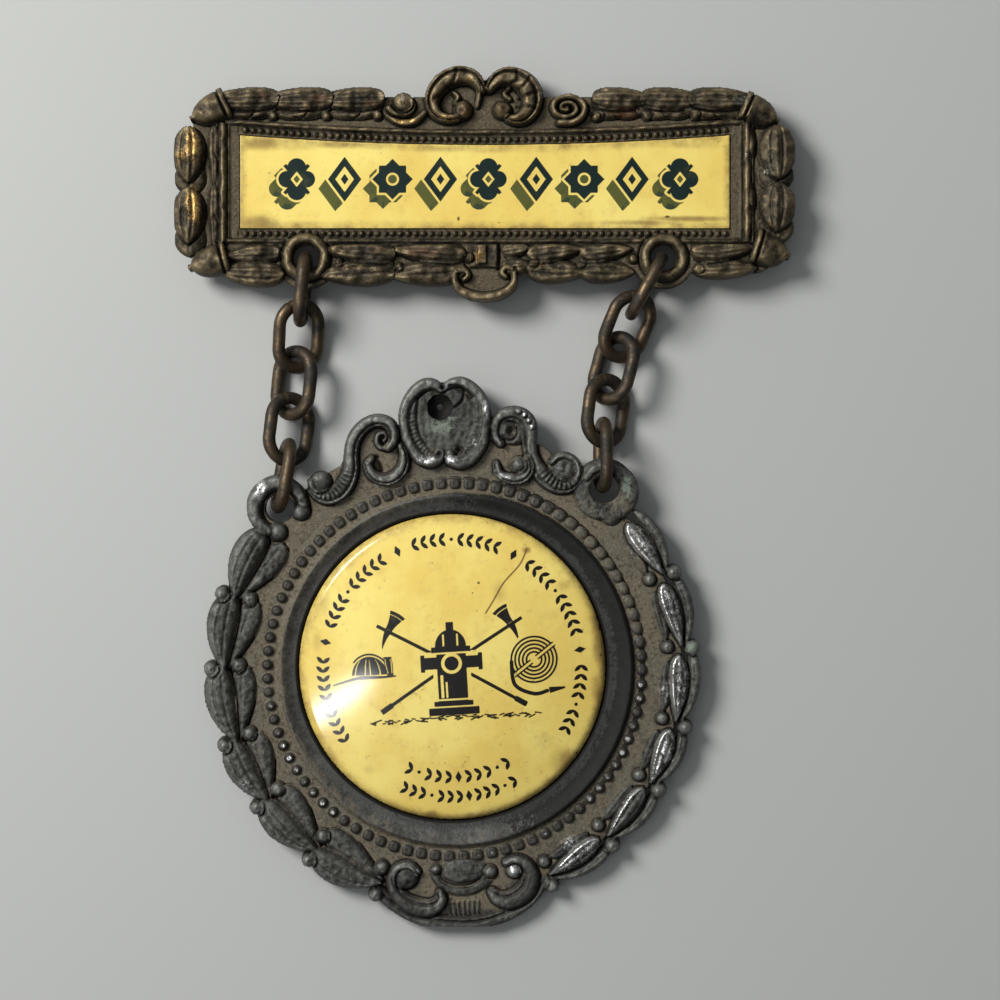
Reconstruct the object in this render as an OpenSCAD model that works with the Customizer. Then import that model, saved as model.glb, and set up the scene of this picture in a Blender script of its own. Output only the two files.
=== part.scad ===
// A firefighter badge lying face up: a cast bar with a name slip, two short chains
// and a round cast medallion with a domed button in its middle.
// X runs to the right, Y towards the bar and Z up, with the surface at Z = 0.

/* [Chains] */
// Diameter of the wire that the links are bent from
wire_d = 1.4; // [1.2:0.1:1.5]
// Length of a link over its ends
link_l = 8; // [7.6:0.1:8.6]
// Width of a link over its sides
link_w = 5.8; // [5.4:0.1:6.2]
// Links in each chain
link_count = 5; // [5:1:5]
// Play along the chain between two links that are drawn out
link_play = 0.35; // [0.25:0.05:0.6]
// Share of its slack by which the shorter chain bows to the left
chain_bow = 0.6; // [0:0.05:0.7]

/* [Bar] */
// Width of the bar's end beyond the slip
bar_end = 3.7; // [3.4:0.1:5]
// Height of the back plate above its middle line
bar_up = 8.8; // [8.4:0.1:9.4]
// Height of the back plate below its middle line
bar_down = 9.4; // [9:0.1:10]
// Height of the scroll crest above the back plate
crest_rise = 3.1; // [2.6:0.1:3.6]
// Thickness of the back plate
bar_t = 1.3; // [1.1:0.1:1.5]
// Radius of the plate's corners
bar_corner = 2.4; // [1.5:0.1:3]
// Distance of each eyelet from the bar's middle
eyelet_x = 18.5; // [18:0.1:19]
// Distance of each eyelet below the bar's middle line
eyelet_y = 7.8; // [7.6:0.1:8.2]
// Radius of the eyelet's hole
eyelet_r = 1.35; // [1.2:0.05:1.5]
// Width of the metal round the eyelet's hole
eyelet_rim = 1.9; // [1.5:0.1:2]
// Depth of the clasp, which holds the bar's back off the surface
clasp_depth = 2; // [1.8:0.1:2.2]

/* [Name slip] */
// Length of the slip
slip_l = 50.6; // [46:0.2:51]
// Height of the slip at its ends
slip_h = 9.6; // [9:0.1:10]
// Thickness of the slip
slip_t = 0.5; // [0.4:0.05:0.7]
// Sag of the slip's upper edge at its middle
slip_sag = 1; // [0:0.1:1.2]
// Gap round the slip and under it
slip_gap = 0.1; // [0.05:0.05:0.2]

/* [Medallion] */
// Width from the ring of beads to the ring on which the outer berries sit
wreath_w = 5.75; // [5.5:0.05:6.5]
// Distance of the round back plate's edge inside the ring of outer berries
field_inset = 1.1; // [0.8:0.1:1.5]
// Thickness of the medallion's back plate
medal_t = 1.3; // [1.1:0.1:1.4]
// Turn of the medallion to the left
medal_turn = 3.4; // [0:0.2:5]
// Distance that the medallion lies to the left of the bar's middle
medal_aside = 3.4; // [2:0.1:4]
// Height of the ears' back above the surface, where they lie on the last links
ear_lift = 1.8; // [1.7:0.05:2]
// Angle of each ear from the medallion's top
ear_angle = 43.8; // [43:0.2:45]
// Distance of each ear's hole inside the ring of outer berries
ear_inset = 0.7; // [0.5:0.1:1]
// Radius of the ear's hole
ear_hole_r = 1.5; // [1.3:0.05:1.6]
// Width of the metal round the ear's hole
ear_rim = 1.6; // [1.4:0.1:1.8]
// Distance of the finial's hole outside the ring of outer berries
finial_rise = 2; // [1.6:0.1:2.4]
// Radius of the finial's hole
finial_hole_r = 1.25; // [1:0.05:1.4]

/* [Wreath and beads] */
// Beads in the ring round the button
bead_count = 84; // [76:2:88]
// Width of the cove between the button's edge and the ring of beads
cove_w = 3.35; // [3.2:0.05:3.6]
// Radius of one bead
bead_r = 0.58; // [0.5:0.02:0.6]
// Leaves down each side of the wreath
leaf_count = 6; // [6:1:6]
// Gap between the ends of two leaves along the ring of outer berries
leaf_gap = 0.05; // [0:0.05:0.5]
// Width of a wreath leaf
leaf_w = 3.5; // [3:0.1:3.8]
// Height of a wreath leaf above the back plate
leaf_h = 1.5; // [1.2:0.1:1.7]
// Radius of a berry
berry_r = 0.95; // [0.8:0.05:1]

/* [Button] */
// Radius of the button
button_r = 15.9; // [15.5:0.1:16]
// Height of the button's straight edge
button_edge = 1.1; // [0.9:0.1:1.3]
// Rise of the button's dome above its edge
button_rise = 1.9; // [1.5:0.1:2.2]
// Gap round the button and under it
button_gap = 0.12; // [0.08:0.02:0.2]

/* [Hidden] */
$fn = 48;

bronze = "#4a4230";
pewter = "#55554f";
copper = "#6b4a30";
cream = "#ecd98c";
nickel = "#8a8a84";

// Relief starts this far above the back of each casting
relief_z = 0.2;
// Cuts reach this far past what they cut
cut_h = 10;

// The slip sets the bar's length, and the button sets the rings of the medallion
bar_l = slip_l + 2 * bar_end;
bead_ring_r = button_r + cove_w;
medal_r = bead_ring_r + wreath_w;
field_r = medal_r - field_inset;
ear_r = medal_r - ear_inset;
finial_r = medal_r + finial_rise;
joint_first = 68;
joint_step = 18;
leaf_l = medal_r * joint_step * PI / 180 - leaf_gap;

// Half sizes of a link to the middle of its wire
wire_r = wire_d / 2;
link_side = (link_w - wire_d) / 2;
link_end = (link_l - wire_d) / 2;
link_straight = link_end - link_side;
link_pitch = link_l - 2 * wire_d - link_play;
chain_reach = 2 * link_end + (link_count - 1) * link_pitch;

// Each row is one link from the bar down: extra heading in degrees, lift off the surface
// where it lies on its neighbour, pitch and roll in degrees
LEFT_LINKS = [
  [1, 0, 0, 90],
  [2, 0.2, 12, 31],
  [0, 0, 0, -36],
  [0, 0, -8, 34],
  [-4, 0, 0, -76]
];
RIGHT_LINKS = [
  [0, 0, 0, 90],
  [0, 0.25, 8, 29],
  [0, 0, 0, -40],
  [0, 0, -8, 34],
  [0, 0, 0, -82]
];

// Plain geometry of the medallion's place
function turned(p, a) = [p[0] * cos(a) - p[1] * sin(a), p[0] * sin(a) + p[1] * cos(a)];
function ear_from_medal(side) =
  turned([side * ear_r * sin(ear_angle), ear_r * cos(ear_angle)], medal_turn);
function ear_across(side) = ear_from_medal(side)[0] - medal_aside - side * eyelet_x;
function drop_of(side) =
  sqrt(chain_reach * chain_reach - ear_across(side) * ear_across(side)) + ear_from_medal(side)[1];
medal_drop = eyelet_y + min(drop_of(-1), drop_of(1));

// The crest's top and the cartouche's bottom set the middle of the whole badge
crest_top = bar_up + crest_rise;
cartouche_r = 0.444 * medal_r;
cartouche_y = 0.64 * medal_r;
badge_bottom = medal_drop + cartouche_y + cartouche_r;
bar_y = (crest_top + badge_bottom) / 2 - crest_top;
medal_mid = [-medal_aside, bar_y - medal_drop];
medal_tilt = atan(ear_lift / (ear_r * cos(ear_angle) + cartouche_y + cartouche_r));

// A smooth curve through the rows of a table, each row any list of numbers
function bend(a, b, c, d, t) =
  (2 * b + (c - a) * t + (2 * a - 5 * b + 4 * c - d) * t * t + (3 * b - a - 3 * c + d) * t * t * t) / 2;
function row_at(rows, i) = rows[max(0, min(len(rows) - 1, i))];
function smooth(rows, steps) = [
  for (i = [0 : len(rows) - 2], k = [0 : steps - 1])
    bend(row_at(rows, i - 1), rows[i], rows[i + 1], row_at(rows, i + 2), k / steps),
  rows[len(rows) - 1]
];

// A closed skin over rings of points, all with as many points
module skin(rings) {
  n = len(rings[0]);
  last = len(rings) - 1;
  sides = [
    for (i = [0 : last - 1], k = [0 : n - 1])
      for (half = [0, 1])
        half == 0
          ? [i * n + k, (i + 1) * n + k, (i + 1) * n + (k + 1) % n]
          : [i * n + k, (i + 1) * n + (k + 1) % n, i * n + (k + 1) % n]
  ];
  caps = [
    [for (k = [0 : n - 1]) k],
    [for (k = [n - 1 : -1 : 0]) last * n + k]
  ];
  polyhedron([for (ring = rings) for (p = ring) p], concat(sides, caps));
}

// Shares of a leaf's half width and height at the points across it
LEAF_ACROSS = [[1, 0], [1, 0.4], [0.5, 1], [0, 0.75], [-0.5, 1], [-1, 0.4], [-1, 0]];
// Shares of a leaf's length, half width and height at the stations along it
LEAF_ALONG = [
  [0, 0.12, 0.45],
  [0.1, 0.7, 0.8],
  [0.35, 1, 1],
  [0.6, 0.85, 0.9],
  [0.85, 0.45, 0.7],
  [1, 0.08, 0.4]
];

// A leaf about its middle with its tip towards +X
module leaf(length, width, height) {
  skin([
    for (s = LEAF_ALONG) [
      for (c = LEAF_ACROSS)
        [(s[0] - 0.5) * length, c[0] * s[1] * width / 2, c[1] * (c[1] > 0 ? s[2] : 0) * height]
    ]
  ]);
}

// Shares of a scroll ridge's half width and height at the points across it
RIDGE_ACROSS = [[1, 0], [0.75, 0.75], [0, 1], [-0.75, 0.75], [-1, 0]];

// A ridge along a path of rows [x, y, half width], all times one size
module ridge(rows, size, height, steps) {
  path = smooth(rows, steps) * size;
  last = len(path) - 1;
  skin([
    for (i = [0 : last])
      let (
        a = path[max(0, i - 1)],
        b = path[min(last, i + 1)],
        run = [b[0] - a[0], b[1] - a[1]] / norm([b[0] - a[0], b[1] - a[1]])
      )
      [
        for (c = RIDGE_ACROSS)
          [
            path[i][0] - run[1] * c[0] * path[i][2],
            path[i][1] + run[0] * c[0] * path[i][2],
            c[1] * height
          ]
      ]
  ]);
}

module mirrored() {
  children();
  mirror([1, 0, 0]) children();
}

// One link about its middle, long along Y and flat in XY
module link() {
  for (end = [0, 180])
    rotate([0, 0, end])
      translate([0, link_straight, 0])
        rotate_extrude(angle = 180)
          translate([link_side, 0])
            circle(wire_r);
  for (side = [-1, 1])
    translate([side * link_side, 0, 0])
      rotate([90, 0, 0])
        cylinder(r = wire_r, h = 2 * link_straight, center = true);
}

// Ends of a chain and the place of each link along it
function chain_top(side) = [side * eyelet_x, bar_y - eyelet_y];
function chain_bottom(side) = medal_mid + ear_from_medal(side);
function chain_span(side) = norm(chain_bottom(side) - chain_top(side));
function chain_slack(side) = max(0, chain_reach - chain_span(side));
function chain_sag(side) = chain_bow * sqrt(3 / 8 * chain_span(side) * chain_slack(side));
function chain_point(side, t) =
  let (
    span = chain_bottom(side) - chain_top(side),
    across = [span[1], -span[0]] / norm(span)
  )
  chain_top(side) + span * t + across * chain_sag(side) * 4 * t * (1 - t);
function link_share(side, i) =
  let (first = link_end / chain_span(side))
  first + (1 - 2 * first) * i / (link_count - 1);
function link_heading(side, i) =
  let (
    t = link_share(side, i),
    run = chain_point(side, t - 0.02) - chain_point(side, t + 0.02)
  )
  atan2(-run[0], run[1]);
// A link rests on the surface by the lowest point of its bent wire
function link_rest(pitch, roll) =
  wire_r + link_straight * abs(sin(pitch))
  + link_side * sqrt(pow(sin(pitch), 2) + pow(sin(roll) * cos(pitch), 2));

module chain_link(side, i) {
  row = side < 0 ? LEFT_LINKS[i] : RIGHT_LINKS[i];
  place = chain_point(side, link_share(side, i));
  color(copper)
    translate([place[0], place[1], row[1] + link_rest(row[2], row[3])])
      rotate([0, 0, link_heading(side, i) + row[0]])
        rotate([row[2], 0, 0])
          rotate([0, row[3], 0])
            link();
}

// Outline of the slip: straight at its lower edge and sagging at its upper edge
function slip_outline(grow) = concat(
  [[-slip_l / 2 - grow, -slip_h / 2 - grow], [slip_l / 2 + grow, -slip_h / 2 - grow]],
  [
    for (k = [8 : -1 : -8])
      [k / 8 * (slip_l / 2 + grow), slip_h / 2 + grow - slip_sag * (1 - pow(k / 8, 2))]
  ]
);
slip_z = bar_t - slip_t + 0.2;

module name_plate() {
  color(cream)
    translate([0, bar_y, clasp_depth + slip_z])
      linear_extrude(slip_t)
        polygon(slip_outline(0));
}

// Sizes of the bar's ornament
bar_leaf_l = 6;
bar_leaf_w = 3.6;
bar_leaf_h = 2.3;
bar_bead_r = 0.36;
bar_bead_step = 0.9;
rim_w = 0.8;
frame_sag = 0.6 * slip_sag;
frame_side = 1.9;
frame_lip = 1.2;
frame_step = 1;
acorn_r = 1.85;
acorn_l = 3.4;
acorn_inset = 1.8;
eyelet_ring_r = 0.5;
knob_r = 1.6;
knob_x = 8.6;

// Each row is one leaf on the right half of the bar: place as shares of half the bar's
// length and of its height above or below, direction of its tip, length and width shares
BAR_LEAVES = [
  [0.46, 0.88, 4, 0.95, 0.95],
  [0.64, 0.88, 3, 0.95, 1],
  [0.82, 0.88, 2, 1, 1],
  [0.12, -0.77, 172, 0.6, 0.7],
  [0.12, -0.93, 176, 0.55, 0.5],
  [0.26, -0.76, 171, 1, 0.75],
  [0.25, -0.97, 177, 1, 0.7],
  [0.45, -0.76, 171, 1, 0.75],
  [0.44, -0.98, 178, 1.05, 0.7],
  [0.83, -0.73, 176, 0.9, 0.5],
  [0.83, -0.93, 180, 1.1, 0.95],
  [1.04, 0.32, -92, 0.95, 1.05],
  [1.04, -0.37, -88, 0.95, 1.05],
  [0.965, 0.32, -90, 0.8, 0.45],
  [0.965, -0.36, -90, 0.8, 0.45]
];
// The crest's large volute, in shares of its size, from the top round to its eye
CREST_VOLUTE = [
  [0.0, 0.36, 0.11],
  [0.16, 0.46, 0.12],
  [0.34, 0.46, 0.13],
  [0.5, 0.36, 0.13],
  [0.55, 0.2, 0.12],
  [0.5, 0.04, 0.11],
  [0.36, -0.05, 0.1],
  [0.21, -0.03, 0.08],
  [0.15, 0.07, 0.07]
];
crest_size = 10;
crest_y = crest_top - 0.59 * crest_size;
// The cartouche under the bar, from its upper knob round its side to its foot
FOOT_CURL = [
  [0.19, 0.16, 0.06],
  [0.26, 0.12, 0.07],
  [0.28, 0.03, 0.08],
  [0.2, -0.06, 0.09],
  [0, -0.09, 0.1]
];
foot_size = 8.5;
foot_y = bar_down + 1.4;

function height_share(v) = v > 0 ? v * bar_up : v * bar_down;

module bar_plate() {
  side = bar_l / 2 - bar_corner;
  hull()
    for (x = [-side, side], y = [bar_up - bar_corner, bar_corner - bar_down])
      translate([x, y, 0])
        cylinder(r = bar_corner, h = bar_t);
}

// A straight rounded moulding between two corners of the picture frame
module moulding(from, to) {
  run = to - from;
  translate([from[0], from[1], bar_t])
    rotate([0, 0, atan2(run[1], run[0])])
      rotate([90, 0, 90])
        cylinder(r = rim_w / 2, h = norm(run));
}

module picture_frame() {
  x = slip_l / 2 + frame_side;
  top = slip_h / 2 + frame_lip;
  low = -slip_h / 2 - frame_lip;
  for (side = [-1, 1])
    moulding([side * x, low], [side * x, top]);
  for (side = [-1, 1])
    moulding([side * (x - frame_step), low], [side * (x - frame_step), top]);
  // The upper one sags and stands a little higher, so that the side ones end inside it
  half = x + rim_w / 4;
  translate([0, 0, relief_z])
    ridge(
      [for (k = [-4 : 4]) [half * k / 4, top - frame_sag * (1 - pow(k / 4, 2)), 0.55 * rim_w]],
      1, bar_t + 0.65 * rim_w - relief_z, 1
    );
}

module bead_rows() {
  count = floor(slip_l / bar_bead_step / 2);
  for (k = [-count : count])
    for (side = [-1, 1])
      translate([
        k * bar_bead_step,
        side > 0
          ? slip_h / 2 + 0.55 - slip_sag * (1 - pow(k / count, 2))
          : -slip_h / 2 - 0.55,
        bar_t + 0.05
      ])
        sphere(bar_bead_r, $fn = 24);
}

// An acorn lying along +X: its nut, its tip and the rim of its cup
module acorn() {
  rotate([0, 90, 0])
    rotate_extrude()
      polygon(concat(
        [[0, 0]],
        [for (k = [0 : 7]) [acorn_r * sqrt(1 - pow(k / 8.5, 2)), acorn_l * k / 8]],
        [[0.4, acorn_l], [0.3, acorn_l + 0.6], [0, acorn_l + 0.6]]
      ));
  translate([-0.5, 0, 0])
    rotate([0, 90, 0])
      cylinder(r1 = acorn_r * 0.9, r2 = acorn_r * 1.1, h = 0.8);
}

module bar_relief() {
  mirrored()
    for (row = BAR_LEAVES)
      translate([row[0] * bar_l / 2, height_share(row[1]), relief_z])
        rotate([0, 0, row[2]])
          leaf(bar_leaf_l * row[3], bar_leaf_w * row[4], bar_leaf_h);
  mirrored()
    for (row = [[bar_up - acorn_inset / 2, -25], [acorn_inset - bar_down, -17]])
      translate([bar_l / 2 - acorn_inset, row[0], bar_t])
        rotate([0, 0, row[1]])
          acorn();
  mirrored()
    translate([eyelet_x, -eyelet_y, bar_t])
      rotate_extrude()
        translate([eyelet_r + 1.5 * eyelet_ring_r, 0])
          circle(eyelet_ring_r);
  mirrored() {
    translate([0, crest_y, relief_z])
      ridge(CREST_VOLUTE, crest_size, bar_leaf_h + 0.3, 2);
    translate([0.23 * crest_size, crest_y + 0.1 * crest_size, bar_t + 0.4])
      sphere(0.95);
    translate([knob_x, bar_up - 0.7 * knob_r, bar_t])
      sphere(knob_r);
    translate([0, -foot_y, relief_z])
      ridge(FOOT_CURL, foot_size, bar_leaf_h, 2);
  }
}

// Field that joins the crest and the foot to the plate
module bar_field() {
  lobe_r = 0.3 * crest_size;
  foot_r = 0.2 * foot_size;
  translate([0, crest_y + 0.2 * crest_size, 0])
    mirrored()
      translate([lobe_r, 0, 0])
        cylinder(r = lobe_r, h = bar_t);
  translate([-lobe_r, crest_y - lobe_r, 0])
    cube([2 * lobe_r, lobe_r + 0.42 * crest_size, bar_t]);
  translate([-foot_r, -foot_y, 0])
    cube([2 * foot_r, foot_y - bar_down + foot_r, bar_t]);
  translate([0, -foot_y, 0])
    mirrored()
      translate([foot_r / 2, 0, 0])
        cylinder(r = foot_r, h = bar_t);
}

module bar_frame() {
  color(bronze)
    translate([0, bar_y, clasp_depth])
      difference() {
        union() {
          bar_plate();
          bar_field();
          picture_frame();
          bead_rows();
          bar_relief();
          mirrored()
            translate([eyelet_x, -eyelet_y, 0])
              cylinder(r = eyelet_r + eyelet_rim, h = bar_t);
        }
        translate([0, 0, slip_z - slip_gap])
          linear_extrude(cut_h)
            polygon(slip_outline(slip_gap));
        mirrored()
          translate([eyelet_x, -eyelet_y, -bar_t])
            cylinder(r = eyelet_r, h = cut_h);
        translate([-bar_l, -bar_l, -bar_t])
          cube([2 * bar_l, 2 * bar_l, bar_t]);
      }
}

// Hidden brooch pin: a strip with a hinge block, a catch and the pin between them
clasp_l = 40;
clasp_w = 3;
clasp_strip_t = 0.4;
clasp_gap = 0.05;
block_l = 3;
block_w = 2.4;
pin_wire_d = 0.9;
pin_lift = 0.1;

module clasp_pin() {
  strip_z = clasp_depth - clasp_gap - clasp_strip_t;
  color(nickel)
    translate([0, bar_y, 0]) {
      translate([-clasp_l / 2, -clasp_w / 2, strip_z])
        cube([clasp_l, clasp_w, clasp_strip_t]);
      for (side = [-1, 1])
        translate([side * (clasp_l - block_l) / 2 - block_l / 2, -block_w / 2, 0])
          cube([block_l, block_w, strip_z + clasp_strip_t / 2]);
      translate([(block_l - clasp_l) / 2, 0, pin_wire_d / 2 + pin_lift])
        rotate([0, 90, 0])
          cylinder(r = pin_wire_d / 2, h = clasp_l - block_l);
    }
}

// Scrolls of the medallion's crest and foot, rows of [x, y, half width] as shares of medal_r
FINIAL_VOLUTE = [
  [0.02, 1.15, 0.03],
  [0.08, 1.16, 0.034],
  [0.13, 1.12, 0.036],
  [0.155, 1.045, 0.036],
  [0.145, 0.96, 0.034],
  [0.11, 0.9, 0.03],
  [0.065, 0.875, 0.026],
  [0.03, 0.9, 0.02]
];
LEFT_SCROLL = [
  [-0.235, 0.935, 0.016],
  [-0.195, 0.955, 0.02],
  [-0.19, 1.005, 0.024],
  [-0.225, 1.045, 0.028],
  [-0.28, 1.05, 0.03],
  [-0.335, 1.015, 0.032],
  [-0.36, 0.945, 0.032],
  [-0.375, 0.875, 0.034],
  [-0.395, 0.805, 0.034],
  [-0.43, 0.75, 0.032],
  [-0.48, 0.73, 0.028],
  [-0.525, 0.765, 0.024],
  [-0.52, 0.81, 0.02]
];
LEFT_INNER = [
  [-0.16, 0.91, 0.018],
  [-0.16, 0.845, 0.022],
  [-0.195, 0.79, 0.026],
  [-0.255, 0.78, 0.026],
  [-0.3, 0.815, 0.022],
  [-0.295, 0.865, 0.018]
];
RIGHT_SCROLL = [
  [0.285, 0.92, 0.016],
  [0.25, 0.955, 0.02],
  [0.255, 1.01, 0.024],
  [0.3, 1.04, 0.028],
  [0.355, 1.02, 0.03],
  [0.38, 0.965, 0.03],
  [0.375, 0.9, 0.03],
  [0.4, 0.825, 0.032],
  [0.44, 0.76, 0.03],
  [0.495, 0.735, 0.028],
  [0.545, 0.755, 0.024],
  [0.555, 0.805, 0.02]
];
RIGHT_INNER = [
  [0.24, 0.9, 0.018],
  [0.245, 0.845, 0.022],
  [0.275, 0.8, 0.024],
  [0.325, 0.785, 0.024],
  [0.36, 0.815, 0.02]
];
FOOT_VOLUTE = [
  [0.24, -0.815, 0.02],
  [0.295, -0.85, 0.026],
  [0.305, -0.91, 0.03],
  [0.265, -0.97, 0.032],
  [0.195, -1.0, 0.03],
  [0.13, -0.99, 0.024],
  [0.1, -0.95, 0.02]
];
// Round eyes and pearls at the ends of the scrolls, rows of [x, y, radius] in the same shares
SCROLL_EYES = [
  [-0.225, 0.975, 0.028],
  [-0.475, 0.795, 0.046],
  [-0.25, 0.85, 0.024],
  [0.3, 0.965, 0.03],
  [0.505, 0.8, 0.044],
  [0.33, 0.835, 0.03],
  [-0.225, -0.87, 0.045],
  [0.215, -0.865, 0.04]
];
// Round fields under the two scrolls beside the finial, rows of [x, y, radius]
SCROLL_FIELDS = [
  [-0.27, 0.96, 0.104],
  [0.31, 0.96, 0.088]
];
finial_x = 0.027 * medal_r;
hole_clear = 0.2;

// Half profile of the casting outside the button: seat wall, cove, ridge and bead channel
seat_z = 0.5;
seat_r = button_r + button_gap;
module seat_ring() {
  rotate_extrude()
    polygon([
      [seat_r - 1, 0.1],
      [bead_ring_r + 0.75, 0.1],
      [bead_ring_r + 0.75, medal_t + 0.05],
      [bead_ring_r - 0.55, medal_t + 0.05],
      [bead_ring_r - 0.75, medal_t + 0.7],
      [bead_ring_r - 1.05, medal_t + 0.75],
      [seat_r + 1.1, medal_t + 0.3],
      [seat_r + 0.35, medal_t + 0.1],
      [seat_r - 1, medal_t + 0.1]
    ]);
}

module bead_ring() {
  for (k = [0 : bead_count - 1])
    rotate([0, 0, k * 360 / bead_count])
      translate([0, bead_ring_r, medal_t + 0.1])
        sphere(bead_r, $fn = 24);
}

// Joints of the wreath down one side: a main leaf, its side leaf and two berries
module wreath_side(side) {
  for (k = [0 : leaf_count - 1]) {
    joint = joint_first + joint_step * k;
    rotate([0, 0, -side * (joint - joint_step * 0.5)]) {
      translate([0, (side < 0 ? 0.955 : 0.93) * medal_r, relief_z])
        rotate([0, 0, side < 0 ? 180 : 0])
          leaf(leaf_l, leaf_w, medal_t + leaf_h - relief_z);
      translate([0, (side < 0 ? 0.885 : 1.0) * medal_r, relief_z])
        rotate([0, 0, side < 0 ? 184 : -4])
          leaf(leaf_l * 0.85, leaf_w * 0.6, medal_t + leaf_h * 0.6 - relief_z);
    }
    rotate([0, 0, -side * joint])
      for (r = [0.885 * medal_r, medal_r])
        translate([0, r, medal_t + 0.2])
          sphere(berry_r, $fn = 32);
  }
}

// A ridge that winds outwards round an ear's hole
module ear_scroll(side) {
  turns = [for (k = [0 : 8]) k / 8];
  ridge(
    [
      for (t = turns)
        let (a = 180 - 215 * t, r = ear_hole_r + 0.75 + 0.5 * t)
        [-side * r * cos(a), r * sin(a), 0.55 + 0.1 * sin(180 * t)]
    ],
    1, medal_t + 0.5 - relief_z, 1
  );
}

// The rim along the cartouche's foot, the cup above it and the flutes between them
foot_rim_w = 1;
cup_r = 0.108 * medal_r;
flute_w = 0.3;
module foot_panel() {
  translate([0, -cartouche_y, 0])
    rotate([0, 0, 228])
      rotate_extrude(angle = 84)
        polygon([
          [cartouche_r - foot_rim_w, medal_t - 0.3],
          [cartouche_r - 0.05, medal_t - 0.3],
          [cartouche_r - 0.05, medal_t + 0.3],
          [cartouche_r - 0.3 * foot_rim_w, medal_t + 0.6],
          [cartouche_r - 0.8 * foot_rim_w, medal_t + 0.5]
        ]);
  translate([0, -0.8 * medal_r, medal_t])
    rotate([0, 0, 195])
      rotate_extrude(angle = 150)
        translate([cup_r, 0])
          circle(0.4);
  for (k = [-3 : 3])
    translate([k * 2 * flute_w - flute_w / 2, -cartouche_y - cartouche_r + 1.2, medal_t - 0.2])
      cube([flute_w, 1.8, 0.5]);
}

module finial_field() {
  translate([finial_x, 1.012 * medal_r, 0])
    cylinder(r = 0.17 * medal_r, h = medal_t);
}

module medal_plate() {
  cylinder(r = field_r, h = medal_t);
  translate([0, -cartouche_y, 0])
    cylinder(r = cartouche_r, h = medal_t);
  finial_field();
  for (row = SCROLL_FIELDS)
    translate([row[0] * medal_r, row[1] * medal_r, 0])
      cylinder(r = row[2] * medal_r, h = medal_t);
  for (side = [-1, 1])
    rotate([0, 0, -side * ear_angle]) {
      translate([0, ear_r, 0])
        cylinder(r = ear_hole_r + ear_rim, h = medal_t);
      translate([-ear_rim, field_r - ear_rim, 0])
        cube([2 * ear_rim, ear_r - field_r + ear_rim, medal_t]);
    }
}

module medal_relief() {
  for (side = [-1, 1]) {
    wreath_side(side);
    rotate([0, 0, -side * ear_angle])
      translate([0, ear_r, relief_z])
        ear_scroll(side);
  }
  translate([finial_x, 0, relief_z])
    mirrored()
      ridge(FINIAL_VOLUTE, medal_r, medal_t + 1.3 - relief_z, 2);
  for (rows = [LEFT_SCROLL, LEFT_INNER, RIGHT_SCROLL, RIGHT_INNER])
    translate([0, 0, relief_z])
      ridge(rows, medal_r, medal_t + 1.1 - relief_z, 2);
  translate([0, 0, relief_z])
    mirrored()
      ridge(FOOT_VOLUTE, medal_r, medal_t + 1.2 - relief_z, 2);
  for (row = SCROLL_EYES)
    translate([row[0] * medal_r, row[1] * medal_r, medal_t + 0.25])
      sphere(row[2] * medal_r);
  foot_panel();
}

module medal_placed() {
  translate([medal_mid[0], medal_mid[1], 0])
    rotate([0, 0, medal_turn])
      translate([0, -cartouche_y - cartouche_r, 0])
        rotate([medal_tilt, 0, 0])
          translate([0, cartouche_y + cartouche_r, 0])
            children();
}

module medallion_frame() {
  color(pewter)
    medal_placed()
      difference() {
        union() {
          medal_plate();
          seat_ring();
          bead_ring();
          medal_relief();
        }
        translate([0, 0, seat_z])
          cylinder(r = seat_r, h = cut_h);
        for (side = [-1, 1])
          rotate([0, 0, -side * ear_angle])
            translate([0, ear_r, -medal_t])
              cylinder(r = ear_hole_r, h = cut_h);
        translate([finial_x / 2, finial_r, -medal_t])
          cylinder(r = finial_hole_r, h = cut_h);
        translate([finial_x / 2, finial_r, medal_t])
          cylinder(r = finial_hole_r + hole_clear, h = cut_h);
      }
}

// Radius of the arc that the button's dome is turned from
dome_r = (button_r * button_r + button_rise * button_rise) / (2 * button_rise);
module medallion_button() {
  color(cream)
    medal_placed()
      translate([0, 0, seat_z + button_gap])
        rotate_extrude($fn = 120)
          polygon(concat(
            [[0, 0], [button_r, 0]],
            [
              for (k = [12 : -1 : 0])
                let (x = button_r * k / 12)
                [x, button_edge + button_rise - dome_r + sqrt(dome_r * dome_r - x * x)]
            ]
          ));
}

bar_frame();
name_plate();
clasp_pin();
chain_link(-1, 0);  // link_left_1
chain_link(-1, 1);  // link_left_2
chain_link(-1, 2);  // link_left_3
chain_link(-1, 3);  // link_left_4
chain_link(-1, 4);  // link_left_5
chain_link(1, 0);  // link_right_1
chain_link(1, 1);  // link_right_2
chain_link(1, 2);  // link_right_3
chain_link(1, 3);  // link_right_4
chain_link(1, 4);  // link_right_5
medallion_frame();
medallion_button();
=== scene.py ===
# %% [markdown]
# # A firefighter badge, dressed for the picture
# The badge lies face up on a pale table: a cast bar with a printed slip, two short chains
# and a cast wreath round a domed celluloid button. The CAD model gives every size and place.
# This script gives each piece its worn, grimy surface.

# %% Load the frame
import math

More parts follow.
